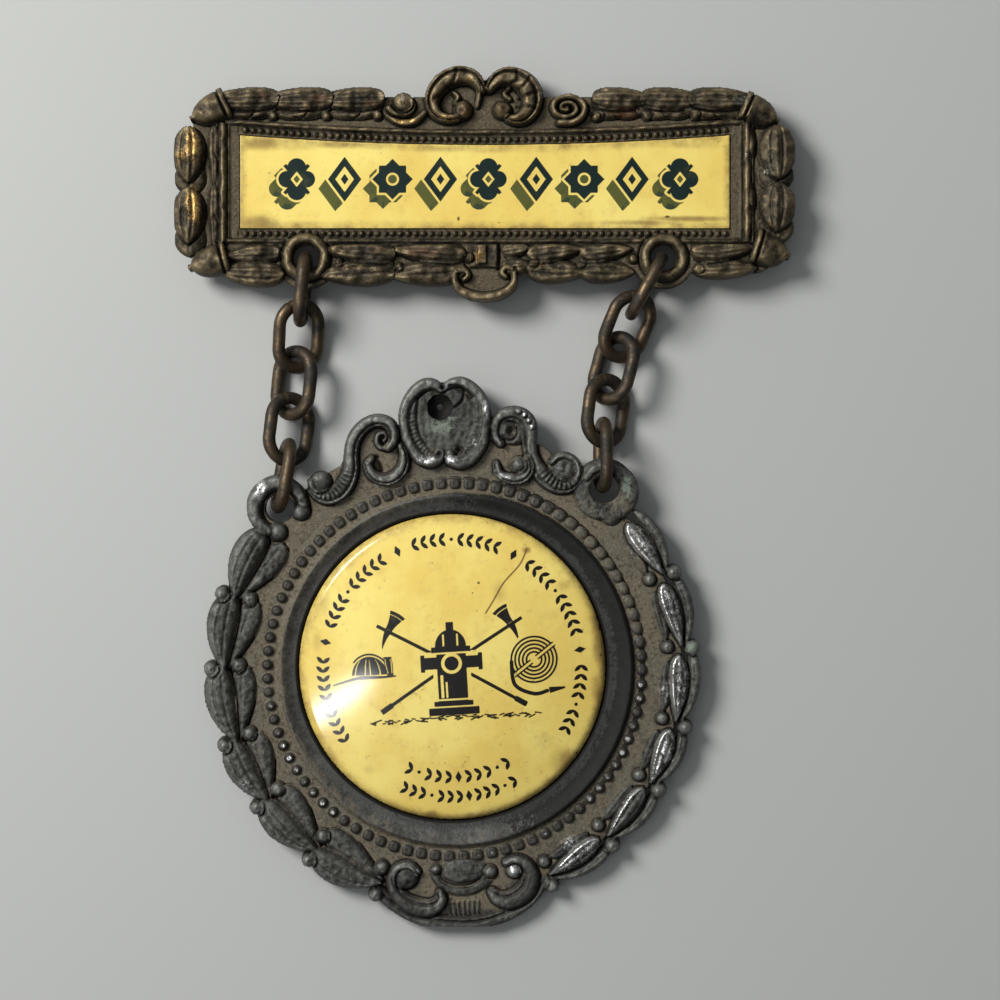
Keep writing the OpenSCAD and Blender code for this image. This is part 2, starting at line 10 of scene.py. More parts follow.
import bmesh
import bpy
import numpy as np
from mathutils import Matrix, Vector


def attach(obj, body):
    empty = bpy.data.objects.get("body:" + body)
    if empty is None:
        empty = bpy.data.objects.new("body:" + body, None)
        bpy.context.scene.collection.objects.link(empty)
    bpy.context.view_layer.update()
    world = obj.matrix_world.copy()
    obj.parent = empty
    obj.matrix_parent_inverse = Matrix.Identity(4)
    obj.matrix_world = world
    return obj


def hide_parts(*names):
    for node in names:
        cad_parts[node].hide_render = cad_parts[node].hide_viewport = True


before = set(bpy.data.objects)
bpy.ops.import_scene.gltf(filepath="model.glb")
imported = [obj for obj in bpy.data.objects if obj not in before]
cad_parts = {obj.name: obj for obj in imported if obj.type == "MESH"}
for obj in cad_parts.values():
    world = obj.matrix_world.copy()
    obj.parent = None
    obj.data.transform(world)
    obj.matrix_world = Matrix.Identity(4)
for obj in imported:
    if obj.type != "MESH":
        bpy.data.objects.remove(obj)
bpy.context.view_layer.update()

MM = 0.001
print("CAD nodes:", len(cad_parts))

# %% [markdown]
# ## Where the pieces lie
# All forms are worked out in millimetres, flat, about the middle of the bar or of the
# medallion, and then carried to their place. The bar lies level on its clasp. The medallion
# is turned a little to the left and leans on its chains, so its upper end is lifted.

# %% Places
BAR_MIDDLE = (0.0, 32.6834, 2.0)
MEDAL_MIDDLE = (-3.4, -17.4834)
MEDAL_TURN = math.radians(3.4)
MEDAL_LEAN = math.radians(2.309)
MEDAL_FOOT = 27.1
PX = 0.1035


def place_on_bar(points):
    """Moves points from the bar's own middle to where the bar lies."""
    return points + np.array(BAR_MIDDLE)


def place_on_medal(points):
    """Leans points about the medallion's foot, turns them, and moves them to its middle."""
    x, y, z = points[:, 0], points[:, 1] + MEDAL_FOOT, points[:, 2]
    lean_y = y * math.cos(MEDAL_LEAN) - z * math.sin(MEDAL_LEAN) - MEDAL_FOOT
    lean_z = y * math.sin(MEDAL_LEAN) + z * math.cos(MEDAL_LEAN)
    turn_x = x * math.cos(MEDAL_TURN) - lean_y * math.sin(MEDAL_TURN) + MEDAL_MIDDLE[0]
    turn_y = x * math.sin(MEDAL_TURN) + lean_y * math.cos(MEDAL_TURN) + MEDAL_MIDDLE[1]
    return np.stack([turn_x, turn_y, lean_z], axis=1)


def on_bar(px, py):
    """A spot of the thousand-wide picture, in millimetres from the bar's middle."""
    return (np.asarray(px) - 486) * PX, (181 - np.asarray(py)) * PX


def on_medal(px, py):
    """A spot of the thousand-wide picture, in millimetres in the medallion's turned frame."""
    dx, dy = (np.asarray(px) - 452.5) * PX, (668 - np.asarray(py)) * PX
    c, s = math.cos(MEDAL_TURN), math.sin(MEDAL_TURN)
    return dx * c + dy * s, dy * c - dx * s


# %% [markdown]
# ## Shader sums written as Python
# A finish is a sum of masks. A small class wraps one socket, so that `grime * (1 - wear)`
# adds its own Math nodes, and one method makes any other node.

# %% Sockets that do sums
def sum_of(operation, swapped=False):
    """The method of an operator: one Math node, with its parts swapped if reflected."""
    def method(self, other):
        """The operation on a value and what stands beside it."""
        parts = (other, self) if swapped else (self, other)
        return self.sum_with(operation, *parts)
    return method


class Value:
    """One output socket. Sums with numbers or other values add Math nodes."""

    def __init__(self, finish, socket):
        self.finish, self.socket = finish, socket

    def sum_with(self, operation, *parts):
        """One Math node on the parts."""
        node = self.finish.tree.nodes.new("ShaderNodeMath")
        node.operation = operation
        for k, part in enumerate(parts):
            self.finish.feed(node.inputs[k], part)
        return Value(self.finish, node.outputs[0])

    __add__ = sum_of("ADD")
    __radd__ = sum_of("ADD", True)
    __sub__ = sum_of("SUBTRACT")
    __rsub__ = sum_of("SUBTRACT", True)
    __mul__ = sum_of("MULTIPLY")
    __rmul__ = sum_of("MULTIPLY", True)

    def between(self, low, high):
        """0 up to low, 1 from high on, and a smooth step between them."""
        node = self.finish.tree.nodes.new("ShaderNodeMapRange")
        node.interpolation_type = "SMOOTHSTEP"
        self.finish.feed(node.inputs["Value"], self)
        node.inputs["From Min"].default_value = low
        node.inputs["From Max"].default_value = high
        return Value(self.finish, node.outputs[0])


# %% A finish
class Finish:
    """A material with one Principled shader, and short names for the nodes that feed it."""

    def __init__(self, name, **constants):
        self.material = bpy.data.materials.new(name)
        self.material.use_nodes = True
        self.tree = self.material.node_tree
        self.tree.nodes.clear()
        self.shader = self.tree.nodes.new("ShaderNodeBsdfPrincipled")
        output = self.tree.nodes.new("ShaderNodeOutputMaterial")
        self.tree.links.new(self.shader.outputs[0], output.inputs[0])
        self.set(**constants)
        print("finish:", name)

    def feed(self, socket, value):
        """Links a Value to a socket, or sets a plain number or colour on it."""
        if isinstance(value, Value):
            self.tree.links.new(value.socket, socket)
        elif isinstance(value, (tuple, list)) and socket.type == "RGBA":
            socket.default_value = (*value[:3], 1)
        else:
            socket.default_value = value

    def set(self, **values):
        """Feeds the shader's sockets. Base_Color stands for Base Color."""
        for key, value in values.items():
            self.feed(self.shader.inputs[key.replace("_", " ")], value)

    def node(self, kind, settings, values, output):
        """Any node: its kind, its settings, and the values of its sockets."""
        node = self.tree.nodes.new(kind)
        for key, value in settings.items():
            setattr(node, key, value)
        for key, value in values.items():
            self.feed(node.inputs[key], value)
        return Value(self, node.outputs[output])

    def spot(self):
        """Where the shaded point is on the object, in metres."""
        return self.node("ShaderNodeTexCoord", {}, {}, "Object")

    def attribute(self, name):
        """A number kept at each vertex of the mesh."""
        return self.node("ShaderNodeAttribute", {"attribute_name": name}, {}, "Fac")

    def noise(self, size_mm, detail, rough, seed):
        """Cloudy noise from 0 to 1 whose blotches are about size_mm across."""
        values = {"Vector": self.spot(), "W": seed, "Scale": 1 / (size_mm * MM), "Detail": detail,
                  "Roughness": rough}
        return self.node("ShaderNodeTexNoise", {"noise_dimensions": "4D"}, values, "Fac")

    def mix(self, first, second, share):
        """A colour between two colours."""
        node = self.tree.nodes.new("ShaderNodeMix")
        node.data_type = "RGBA"
        self.feed(node.inputs[0], share)
        self.feed(node.inputs[6], first)
        self.feed(node.inputs[7], second)
        return Value(self, node.outputs[2])

    def bump(self, height, distance_mm, strength):
        """A Bump node on a height from 0 to 1 that stands for distance_mm."""
        values = {"Height": height, "Distance": distance_mm * MM, "Strength": strength}
        return self.node("ShaderNodeBump", {}, values, "Normal")


# %% [markdown]
# ## A casting is one field of heights
# Leaves, scrolls, beads and berries run into each other in a casting. So each casting is one
# height over an even grid. Every form raises it with a smooth maximum, which leaves a soft
# joint where two forms meet, and first cuts a fine moat round itself, as a chaser's tool
# does. A second field says how far a spot is inside the outline.

# %% The field of heights
def bell(away, width, power=2):
    """1 in the middle, falling to 0: e to the minus power of away over width."""
    return np.exp(-(away / width) ** power)


def round_arch(share, power=2):
    """The root of one minus a power of the share, and 0 past its end."""
    return np.sqrt(np.clip(1 - share ** power, 0, 1))


def cos_sin(degrees):
    """The cosine and the sine of an angle."""
    return math.cos(math.radians(degrees)), math.sin(math.radians(degrees))


def smooth_max(a, b, k):
    """The larger of two heights, with a round joint of about k millimetres between them."""
    t = np.clip(0.5 + 0.5 * (b - a) / k, 0, 1)
    return a + (b - a) * t + k * t * (1 - t)


class Relief:
    """Heights H above the back and insideness F over an even grid, in millimetres."""

    def __init__(self, x_range, y_range, cell, level):
        xs = np.arange(x_range[0], x_range[1] + cell, cell)
        ys = np.arange(y_range[0], y_range[1] + cell, cell)
        self.X, self.Y = np.meshgrid(xs, ys)
        self.cell = cell
        self.H = np.full(self.X.shape, float(level))
        self.F = np.full(self.X.shape, -9.0)
        self.marks = {}

    def near(self, x, y, reach):
        """The part of the grid within reach of a spot."""
        col = np.clip((np.array([x - reach, x + reach]) - self.X[0, 0]) / self.cell, 0, None)
        row = np.clip((np.array([y - reach, y + reach]) - self.Y[0, 0]) / self.cell, 0, None)
        return np.s_[int(row[0]):int(row[1]) + 2, int(col[0]):int(col[1]) + 2]

    def join(self, where, height, inside, round_mm=0.09, moat=0.0):
        """Cuts the moat, raises the grid to one form and widens the outline by it. The moat
        is deepest at the lower right, away from the window, so that the black of its crevice is painted
        shade."""
        if moat:
            # Painted shade: the moat deepens on edges turned to the lower right, away from the window.
            up, right = np.gradient(inside, self.cell)
            away_from_window = np.clip(0.5 + 0.35 * (up - right), 0, 1)
            deep = moat * (0.15 + 0.95 * away_from_window ** 1.5)
            self.H[where] -= deep * bell(inside + 0.05, 0.13) * (inside < 0.02)
        self.H[where] = smooth_max(self.H[where], np.where(inside > 0, height, -5), round_mm)
        self.F[where] = np.maximum(self.F[where], inside)

    def mark(self, name, where, value):
        """Keeps the largest value of a named mask, for the finish."""
        layer = self.marks.setdefault(name, np.zeros(self.X.shape))
        layer[where] = np.maximum(layer[where], value)


def paint(relief, name, x, y, wide, high, strength):
    """A soft oval of a mask: strength times a bell curve over its two half sizes."""
    where = relief.near(x, y, 2.2 * max(wide, high))
    oval = ((relief.X[where] - x) / wide) ** 2 + ((relief.Y[where] - y) / high) ** 2
    relief.mark(name, where, strength * np.exp(-oval))


def paint_all(relief, place, masks):
    """Rows of a spot of the picture, two half sizes and a strength, mask by mask."""
    for name, rows in masks.items():
        for px, py, wide, high, strength in rows:
            paint(relief, name, *place(px, py), wide, high, strength)
        print(name, "spots:", len(rows))


def tell(what, relief):
    """Prints how high a relief stands so far, and how much of its grid it covers."""
    print(f"{what}: up to {relief.H.max():.2f} mm, {(relief.F > 0).mean():.0%} of the grid")


# %% Small forms: a ball and a dent
def ball(relief, x, y, radius, foot, rise, moat=0.25, mark=None):
    """A dome: foot plus rise times the root of one minus the squared share of the radius."""
    where = relief.near(x, y, radius + 0.5)
    d = np.hypot(relief.X[where] - x, relief.Y[where] - y)
    dome = foot + rise * round_arch(d / radius)
    relief.join(where, dome, radius - d, 0.08, moat)
    if mark is not None:
        relief.mark(mark, where, np.clip(1.2 - d / radius, 0, 1))


def dent(relief, x, y, radius, depth):
    """A round hollow with a smooth bell-shaped section."""
    where = relief.near(x, y, radius * 2.5)
    d = np.hypot(relief.X[where] - x, relief.Y[where] - y)
    relief.H[where] -= depth * bell(d, radius)


# %% A laurel leaf
def straight(relief, x, y, degrees, reach):
    """Coordinates along and across a line at an angle, near a spot."""
    where = relief.near(x, y, reach)
    dx, dy = relief.X[where] - x, relief.Y[where] - y
    c, s = cos_sin(degrees)
    return where, dx * c + dy * s, dy * c - dx * s


LEAF_FOOT = 1.15


def leaf(relief, spot, length, width, top, ends, veins, cut, crest=None, bend=0.0, slant=0.0,
         moat=0.3, mark=None):
    """A laurel leaf. Its half width is (1-s)^a (1+s)^b, made to peak at width / 2, with s from
    -1 to 1 along it, so a large a makes a sharp tip. The middle line moves aside by
    bend (1-s^2) + slant s. Across, the height is a flat arch, less a bell for each vein."""
    where, along, across = spot
    s = np.clip(2 * along / length, -1, 1)
    across = across - bend * (1 - s * s) - slant * s
    a, b = ends
    peak = (b - a) / (a + b)
    half = width / 2 * (1 - s) ** a * (1 + s) ** b / ((1 - peak) ** a * (1 + peak) ** b)
    q = np.abs(across) / np.maximum(half, 0.03)
    arch = round_arch(q, 2.6) * (1 - 0.3 * s * s)
    height = LEAF_FOOT + (top - LEAF_FOOT) * arch
    fade = 1 - s ** 4
    for share in veins:
        height -= cut * bell(across - share * half, 0.13) * fade
    if crest is not None:
        height += crest[1] * bell(across - crest[0] * half, 0.2) * fade
    past = np.maximum(np.abs(along) - length / 2, 0)
    inside = np.where(past > 0, -np.hypot(past, across), half - np.abs(across))
    relief.join(where, height, inside, 0.06, moat)
    if mark is not None:
        share = 0.0 if crest is None else crest[0]
        near = bell(across - share * half, 0.28)
        relief.mark(mark[0], where, mark[1] * (0.36 + 0.64 * near) * np.clip(inside / 0.15, 0, 1))


# %% A wider line, and a mound
def wider(rows, by):
    """The same line with its half widths scaled."""
    return [(px, py, half * by) for px, py, half in rows]


def mound(relief, x, y, wide, high, top, edge=0.3):
    """A low oval boss with a nearly flat top and a soft edge."""
    where = relief.near(x, y, max(wide, high) + 0.4)
    share = np.hypot((relief.X[where] - x) / wide, (relief.Y[where] - y) / high)
    inside = (1 - share) * min(wide, high)
    rise = np.clip(inside / edge, 0, 1)
    height = top - 0.5 * (1 - np.sqrt(1 - (1 - rise) ** 2)) - 0.12 * share ** 2
    relief.join(where, height, inside, 0.1, 0.15)


# %% Forms along a path
def smooth_path(rows, steps=8):
    """A smooth curve through rows of numbers: each point weighs the four rows round it."""
    rows = np.asarray(rows, float)
    ends = np.concatenate([rows[:1], rows, rows[-1:]])
    a, b, c, d = ends[:-3], ends[1:-2], ends[2:-1], ends[3:]
    t = (np.arange(steps) / steps)[None, :, None]
    a, b, c, d = (p[:, None, :] for p in (a, b, c, d))
    curve = (2 * b + (c - a) * t + (2 * a - 5 * b + 4 * c - d) * t * t
             + (3 * b - a - 3 * c + d) * t ** 3) / 2
    return np.concatenate([curve.reshape(-1, rows.shape[1]), rows[-1:]])


def to_path(x, y, path):
    """For each spot: its distance to the nearest part of a path of rows x, y, half width,
    the half width there, the length run so far, and the side, 1 to the left of the run."""
    a, run = path[:-1], np.diff(path, axis=0)
    size = np.hypot(run[:, 0], run[:, 1]) + 1e-9
    px, py = x.ravel()[:, None], y.ravel()[:, None]
    t = np.clip(((px - a[:, 0]) * run[:, 0] + (py - a[:, 1]) * run[:, 1]) / size ** 2, 0, 1)
    dx, dy = px - a[:, 0] - t * run[:, 0], py - a[:, 1] - t * run[:, 1]
    half = a[:, 2] + t * run[:, 2]
    d = np.hypot(dx, dy)
    k = np.argmin(d - half, axis=1)
    pick = (np.arange(len(k)), k)
    side = np.sign(run[k, 0] * dy[pick] - run[k, 1] * dx[pick])
    arc = np.concatenate([[0], np.cumsum(size)[:-1]])[k] + t[pick] * size[k]
    return [v.reshape(x.shape) for v in (d[pick], half[pick], arc, side)]


def window_of(relief, path, more=0.6):
    """The part of the grid round a path."""
    low, high = path[:, :2].min(0), path[:, :2].max(0)
    reach = max(high - low) / 2 + path[:, 2].max() + more
    return relief.near(*((low + high) / 2), reach)


def traced(place, rows):
    """Rows of a spot of the picture and a half width, as rows in millimetres."""
    rows = np.asarray(rows, float)
    x, y = place(rows[:, 0], rows[:, 1])
    return np.stack([x, y, rows[:, 2]], 1)


# %% Bands, grooves, ridges and discs
BAND_STEPS = 6


def band(relief, rows, foot, top, rim_side=0, rim=0.3, ribs=None, rib_mm=0.5, moat=0.3):
    """A band along a path. Its section is a flat arch. With a rim side, a smooth rim takes
    that share of its width, and the body beside it may have ribs across it."""
    path = smooth_path(rows, BAND_STEPS)
    where = window_of(relief, path)
    d, half, arc, side = to_path(relief.X[where], relief.Y[where], path)
    q = np.clip(d / half, 0, 1)
    arch = np.sqrt(1 - q ** 3.4)
    if rim_side:
        u = (1 - side * rim_side * q) / 2
        arch = arch * (1 - 0.34 * bell(u - rim, 0.085))
        body = np.clip((u - rim) / 0.1, 0, 1)
    else:
        body = 1 - q * 0.5
    if ribs is not None:
        share = arc / arc.max()
        on = np.clip((share - ribs[0]) / 0.06, 0, 1) * np.clip((ribs[1] - share) / 0.06, 0, 1)
        arch = arch * (1 - 0.24 * on * body * (0.5 - 0.5 * np.cos(2 * math.pi * arc / rib_mm)))
    relief.join(where, foot + (top - foot) * arch, half - d, 0.1, moat)


def groove(relief, rows, depth, width):
    """A groove with a bell-shaped section along a path."""
    path = smooth_path(rows)
    where = window_of(relief, path, 1.0)
    d = to_path(relief.X[where], relief.Y[where], path)[0]
    relief.H[where] -= depth * bell(d, width)


RIDGE_FOOT = 1.2


def ridge(relief, away, half, top):
    """A long low moulding with a round section, wherever a distance is under its half width."""
    raised = RIDGE_FOOT + (top - RIDGE_FOOT) * round_arch(away / half)
    relief.H = smooth_max(relief.H, np.where(away < half, raised, -5), 0.05)


def disc(relief, x, y, radius):
    """Widens the outline by a flat round plate."""
    relief.F = np.maximum(relief.F, radius - np.hypot(relief.X - x, relief.Y - y))


# %% [markdown]
# ## From heights to a closed mesh
# Grid cells inside the outline become faces. The corners on its edge are drawn onto the line
# where the insideness is zero, a wall runs down from them, and a flat back closes the solid.
# The bar also has a pit, in which the printed slip lies.

# %% Closing a field
def blurred(heights, cells):
    """Three running means along each axis, which together are close to a bell curve."""
    out = heights
    for _ in range(3):
        for axis in (0, 1):
            size = 2 * cells + 1
            margin = [(cells + 1, cells) if a == axis else (0, 0) for a in (0, 1)]
            padded = np.pad(out, margin, "edge")
            total = np.cumsum(padded, axis=axis)
            take = [slice(None), slice(None)]
            give = [slice(None), slice(None)]
            take[axis], give[axis] = slice(size, None), slice(None, -size)
            out = (total[tuple(take)] - total[tuple(give)]) / size
    return out


def fill(points, edges, upwards):
    """Triangles over flat loops, holes left open, all facing the same way."""
    bm = bmesh.new()
    verts = [bm.verts.new((x, y, 0)) for x, y in points]
    for a, b in edges:
        bm.edges.new((verts[a], verts[b]))
    bm.verts.index_update()
    bmesh.ops.triangle_fill(bm, use_beauty=False, use_dissolve=False, edges=bm.edges[:],
                            normal=(0, 0, 1))
    tris = np.array([[v.index for v in f.verts] for f in bm.faces], int).reshape(-1, 3)
    bm.free()
    p, q, r = (points[tris[:, k]] for k in range(3))
    area = np.cross(q - p, r - p)
    flip = (area < 0) if upwards else (area > 0)
    tris[flip] = tris[flip][:, ::-1]
    return tris[np.abs(area) > 1e-12]


def kept_cells(relief):
    """The cells whose middle is inside, with no two of them touching by a corner alone."""
    F = relief.F
    keep = (F[:-1, :-1] + F[1:, :-1] + F[:-1, 1:] + F[1:, 1:]) > 0
    for _ in range(2):
        a, b, c, d = keep[:-1, :-1], keep[:-1, 1:], keep[1:, 1:], keep[1:, :-1]
        b |= a & c & ~b & ~d
        a |= b & d & ~a & ~c
    return keep


def edge_of(keep, columns):
    """The directed grid edges round the kept cells, as pairs of node numbers."""
    wide = np.pad(keep, 1)
    i, j = np.nonzero(keep)
    start = i * columns + j
    corners = [start, start + 1, start + columns + 1, start + columns]
    near = [wide[i, j + 1], wide[i + 1, j + 2], wide[i + 2, j + 1], wide[i + 1, j]]
    pairs = [np.stack([corners[k], corners[(k + 1) % 4]], 1)[~near[k]] for k in range(4)]
    return np.stack(corners, 1), np.concatenate(pairs)


# %% The casting itself
# What the masks read on the side walls, where a height has no meaning.
CALM = {"cavity": 0.03, "crevice": 0.0, "field": 0.3}


def closed(name, relief, place, pit=None, soften=0.12):
    """The closed solid of a relief. pit is a pair: a field that is positive round a pit's
    edge, and the height of the pit's floor."""
    columns = relief.X.shape[1]
    quads, rim = edge_of(kept_cells(relief), columns)
    X, Y = relief.X.ravel().copy(), relief.Y.ravel().copy()
    H = relief.H.ravel()
    slope_y, slope_x = np.gradient(relief.F, relief.cell)
    slope = np.stack([slope_x.ravel(), slope_y.ravel()], 1)
    on_rim = np.unique(rim)
    steep = (slope[on_rim] ** 2).sum(1) + 0.05
    step = np.clip(relief.F.ravel()[on_rim] / steep, -relief.cell, relief.cell)
    X[on_rim] -= step * slope[on_rim, 0]
    Y[on_rim] -= step * slope[on_rim, 1]
    used = np.unique(quads)
    number = np.full(H.size, -1)
    number[used] = np.arange(len(used))
    top = np.stack([X[used], Y[used], H[used]], 1)
    base = np.zeros(len(on_rim))
    in_pit = np.zeros(len(on_rim), bool)
    if pit is not None:
        in_pit = pit[0].ravel()[on_rim] > 0
        base[in_pit] = pit[1]
    inward = slope[on_rim] / np.sqrt(steep)[:, None] * soften
    inward[in_pit] = 0
    wall = np.stack([X[on_rim], Y[on_rim], np.minimum(base + soften, H[on_rim] - 0.02)], 1)
    foot = np.stack([X[on_rim] + inward[:, 0], Y[on_rim] + inward[:, 1], base], 1)
    order = np.full(H.size, -1)
    order[on_rim] = np.arange(len(on_rim))
    a, b = number[rim[:, 0]], number[rim[:, 1]]
    ra, rb = order[rim[:, 0]], order[rim[:, 1]]
    n, m = len(used), len(on_rim)
    skirt = [np.stack([b, a, n + ra, n + rb], 1),
             np.stack([n + rb, n + ra, n + m + ra, n + m + rb], 1)]
    faces = [number[quads], *skirt]
    tris = []
    for pick, upwards in ((~in_pit[ra], False), (in_pit[ra], True)):
        if pick.any():
            made = fill(foot[:, :2], np.stack([ra[pick], rb[pick]], 1), upwards)
            tris.append(made + n + m)
    points = np.concatenate([top, wall, foot])
    extra = np.concatenate([on_rim, on_rim])
    marks = {}
    for key, layer in relief.marks.items():
        values = layer.ravel().copy()
        if key in CALM:
            values[on_rim] = CALM[key]
        marks[key] = np.concatenate([values[used], values[extra]])
    return build(name, place(points), np.concatenate(faces), np.concatenate(tris), marks)


# %% A mesh from arrays
SHARP_DEG = 62


def build(name, points, quads, tris, marks):
    """A mesh object from arrays in millimetres, smooth but for its sharp edges."""
    mesh = bpy.data.meshes.new(name)
    mesh.from_pydata((points * MM).tolist(), [], quads.tolist() + tris.tolist())
    for key, values in marks.items():
        layer = mesh.attributes.new(key, "FLOAT", "POINT")
        layer.data.foreach_set("value", np.ascontiguousarray(values, np.float32))
    mesh.polygons.foreach_set("use_smooth", np.ones(len(mesh.polygons), bool))
    mesh.update()
    mesh.set_sharp_from_angle(angle=math.radians(SHARP_DEG))
    piece = bpy.data.objects.new(name, mesh)
    bpy.context.scene.collection.objects.link(piece)
    print(name, "triangles:", 2 * len(quads) + len(tris))
    return piece


# %% Cast skin, and the masks that the finish reads
def crumble(relief, seed, coarse, fine):
    """Uneven cast skin: seeded noise, blurred to two sizes, added where the relief stands up."""
    rng = np.random.default_rng(seed)
    standing = np.clip((relief.H - 1.35) / 0.5, 0, 1)
    for amount, reach in ((coarse, 0.45), (fine, 0.2)):
        field = blurred(rng.standard_normal(relief.H.shape), max(1, int(reach / relief.cell)))
        relief.H += amount * np.clip(field / field.std(), -2, 2) * standing


TOP_EDGE, LOWEST_TOP = 0.3, 0.75


def finish_field(relief):
    """Rounds the outline's top edge and keeps the masks that the finish reads: a spot's height
    above its surroundings, blurred widely for cavity and finely for crevice, and the open
    field of the plate, where dirt lies flat."""
    inside = np.clip(relief.F, 0, TOP_EDGE) / TOP_EDGE
    relief.H -= 0.7 * TOP_EDGE * (1 - np.sqrt(1 - (1 - inside) ** 2))
    relief.H = np.maximum(relief.H, LOWEST_TOP)
    for name, reach in (("cavity", 0.5), ("crevice", 0.17)):
        relief.marks[name] = relief.H - blurred(relief.H, max(1, int(reach / relief.cell)))
    relief.marks["field"] = np.clip((1.5 - relief.H) / 0.12, 0, 1)


# %% [markdown]
# ## The camera, the table and the light
# The picture looks straight down on the badge. A broad window on the upper left gives the
# soft shadows to the right, and a smaller one leaves the white glare on the button's lower
# left. The room is brighter on the window's side, so the metal shows its relief.

# %% Camera
VIEW_X, VIEW_Y, VIEW_Z = 1.5525, -0.207, 3.0
LENS, SENSOR = 85.0, 36.0
FIELD = 1000 * PX

camera = bpy.data.objects.new("camera", bpy.data.cameras.new("camera"))
camera.data.lens = LENS
camera.data.sensor_width = SENSOR
camera.data.clip_start = 0.01
away = FIELD * LENS / SENSOR
camera.location = (VIEW_X * MM, VIEW_Y * MM, (VIEW_Z + away) * MM)
bpy.context.scene.collection.objects.link(camera)
bpy.context.scene.camera = camera
# The default transform dulls the cream and the white glare of the photograph.
bpy.context.scene.view_settings.view_transform = "Standard"
print("camera height in mm:", round(VIEW_Z + away, 1))

# %% Table
table = bpy.data.meshes.new("table")
TABLE_HALF = 1.2
corners = [(x * TABLE_HALF, y * TABLE_HALF, 0) for x, y in ((-1, -1), (1, -1), (1, 1), (-1, 1))]
table.from_pydata(corners, [], [(0, 1, 2, 3)])
table_top = bpy.data.objects.new("table", table)
bpy.context.scene.collection.objects.link(table_top)
paper = Finish("pale table", Base_Color=(0.44, 0.45, 0.435), Roughness=0.7)
table.materials.append(paper.material)
print("table:", 2 * TABLE_HALF, "m wide")


# %% Light
def lamp(name, place, wide, high, watts, colour):
    """An oval area light that looks at the middle of the badge."""
    light = bpy.data.lights.new(name, "AREA")
    light.shape = "ELLIPSE"
    light.size = wide
    light.size_y = high
    light.energy = watts
    light.color = colour
    made = bpy.data.objects.new(name, light)
    made.location = place
    made.rotation_euler = (Vector(place) * -1).to_track_quat("-Z", "Y").to_euler()
    bpy.context.scene.collection.objects.link(made)
    print("lamp:", name, watts, "W")
    return made


lamp("window", (-0.25, 0.17, 0.29), 0.17, 0.17, 1.92, (1.0, 0.985, 0.96))
glare = lamp("glare", (-0.156, -0.112, 0.30), 0.022, 0.13, 0.42, (1, 1, 1))
# This lamp is there for the glare alone, so it sends no light to dull surfaces.
glare.visible_diffuse = False

# %% The room: dim overhead and on the right, brighter towards the window
sky = bpy.data.worlds.new("soft room")
bpy.context.scene.world = sky
sky.use_nodes = True
room = sky.node_tree
direction = room.nodes.new("ShaderNodeTexCoord").outputs["Generated"]
towards = room.nodes.new("ShaderNodeVectorMath")
towards.operation = "DOT_PRODUCT"
towards.inputs[1].default_value = (-0.66, 0.58, 0.48)
level_of = room.nodes.new("ShaderNodeMapRange")
level_of.interpolation_type = "SMOOTHSTEP"
for key, value in (("From Min", -0.5), ("From Max", 0.95), ("To Min", 0.07), ("To Max", 0.46)):
    level_of.inputs[key].default_value = value
room.links.new(direction, towards.inputs[0])
room.links.new(towards.outputs["Value"], level_of.inputs["Value"])
backdrop = room.nodes["Background"]
backdrop.inputs[0].default_value = (0.93, 0.96, 1.0, 1)
room.links.new(level_of.outputs[0], backdrop.inputs[1])

# %% [markdown]
# ## The medallion's wreath
# One pewter casting. Down each side run six pairs of leaves that meet at a joint between two
# berries. At the top a heart-shaped finial stands between two scrolls, and at the bottom a
# cartouche holds two volutes and a cup. The forms are placed by their spots in the picture.

# %% Sizes of the medallion
FIELD_R, PLATE = 23.9, 1.3
RING_R = 20.0
CARTOUCHE_R, CARTOUCHE_Y = 11.1, 16.0
EAR_R, EAR_ANGLE, EAR_HOLE = 24.3, 43.8, 1.5
FINIAL_X, FINIAL_Y, FINIAL_HOLE, FINIAL_OPEN = 0.3375, 27.0, 1.25, 0.3
LOWEST_Y = -44.46
LEFT_JOINTS = (50.5, 68.2, 86.4, 105.0, 121.8, 139.5, 157.5)
RIGHT_JOINTS = (52.0, 69.6, 88.2, 107.4, 123.7, 141.0, 158.5)

wreath = Relief((-27.6, 27.6), (-28.2, 31.4), 0.108, PLATE)


def at_angle(degrees, radius):
    """A spot at an angle from the medallion's top, to the right where it is positive."""
    a = math.radians(degrees)
    return radius * math.sin(a), radius * math.cos(a)


def down_ring(relief, side, degrees, radius, reach):
    """Coordinates down one side of the ring and outwards from it, near an angle from the top."""
    where = relief.near(*at_angle(side * degrees, radius), reach)
    x, y = relief.X[where] * side, relief.Y[where]
    turn = np.degrees(np.arctan2(x, y)) - degrees
    turn = (turn + 180) % 360 - 180
    return where, np.radians(turn) * radius, np.hypot(x, y) - radius


def on_wreath(form, rows, *sizes, by=1.0, **more):
    """A band or a groove on the wreath along rows of the picture, by times as wide."""
    form(wreath, traced(on_medal, wider(rows, by)), *sizes, **more)


# %% Back plate of the medallion
disc(wreath, 0, 0, FIELD_R)
disc(wreath, 0, -CARTOUCHE_Y, CARTOUCHE_R)
for px, py, r in ((446, 424, 4.3), (383, 452, 2.9), (366, 476, 2.8), (516, 440, 1.9),
                  (530, 470, 2.8), (556, 478, 2.0)):
    disc(wreath, *on_medal(px, py), r)
for side in (-1, 1):
    disc(wreath, *at_angle(side * EAR_ANGLE, EAR_R), EAR_HOLE + 1.6)
tell("back plate", wreath)

# %% [markdown]
# ## Leaves and berries of the wreath
# On the real badge these were cut into the die. They could be separate meshes, but hard
# seams would show where they meet. Raising the one field keeps them a casting, and a loop
# over the joints lays each leaf by its angle from the top.

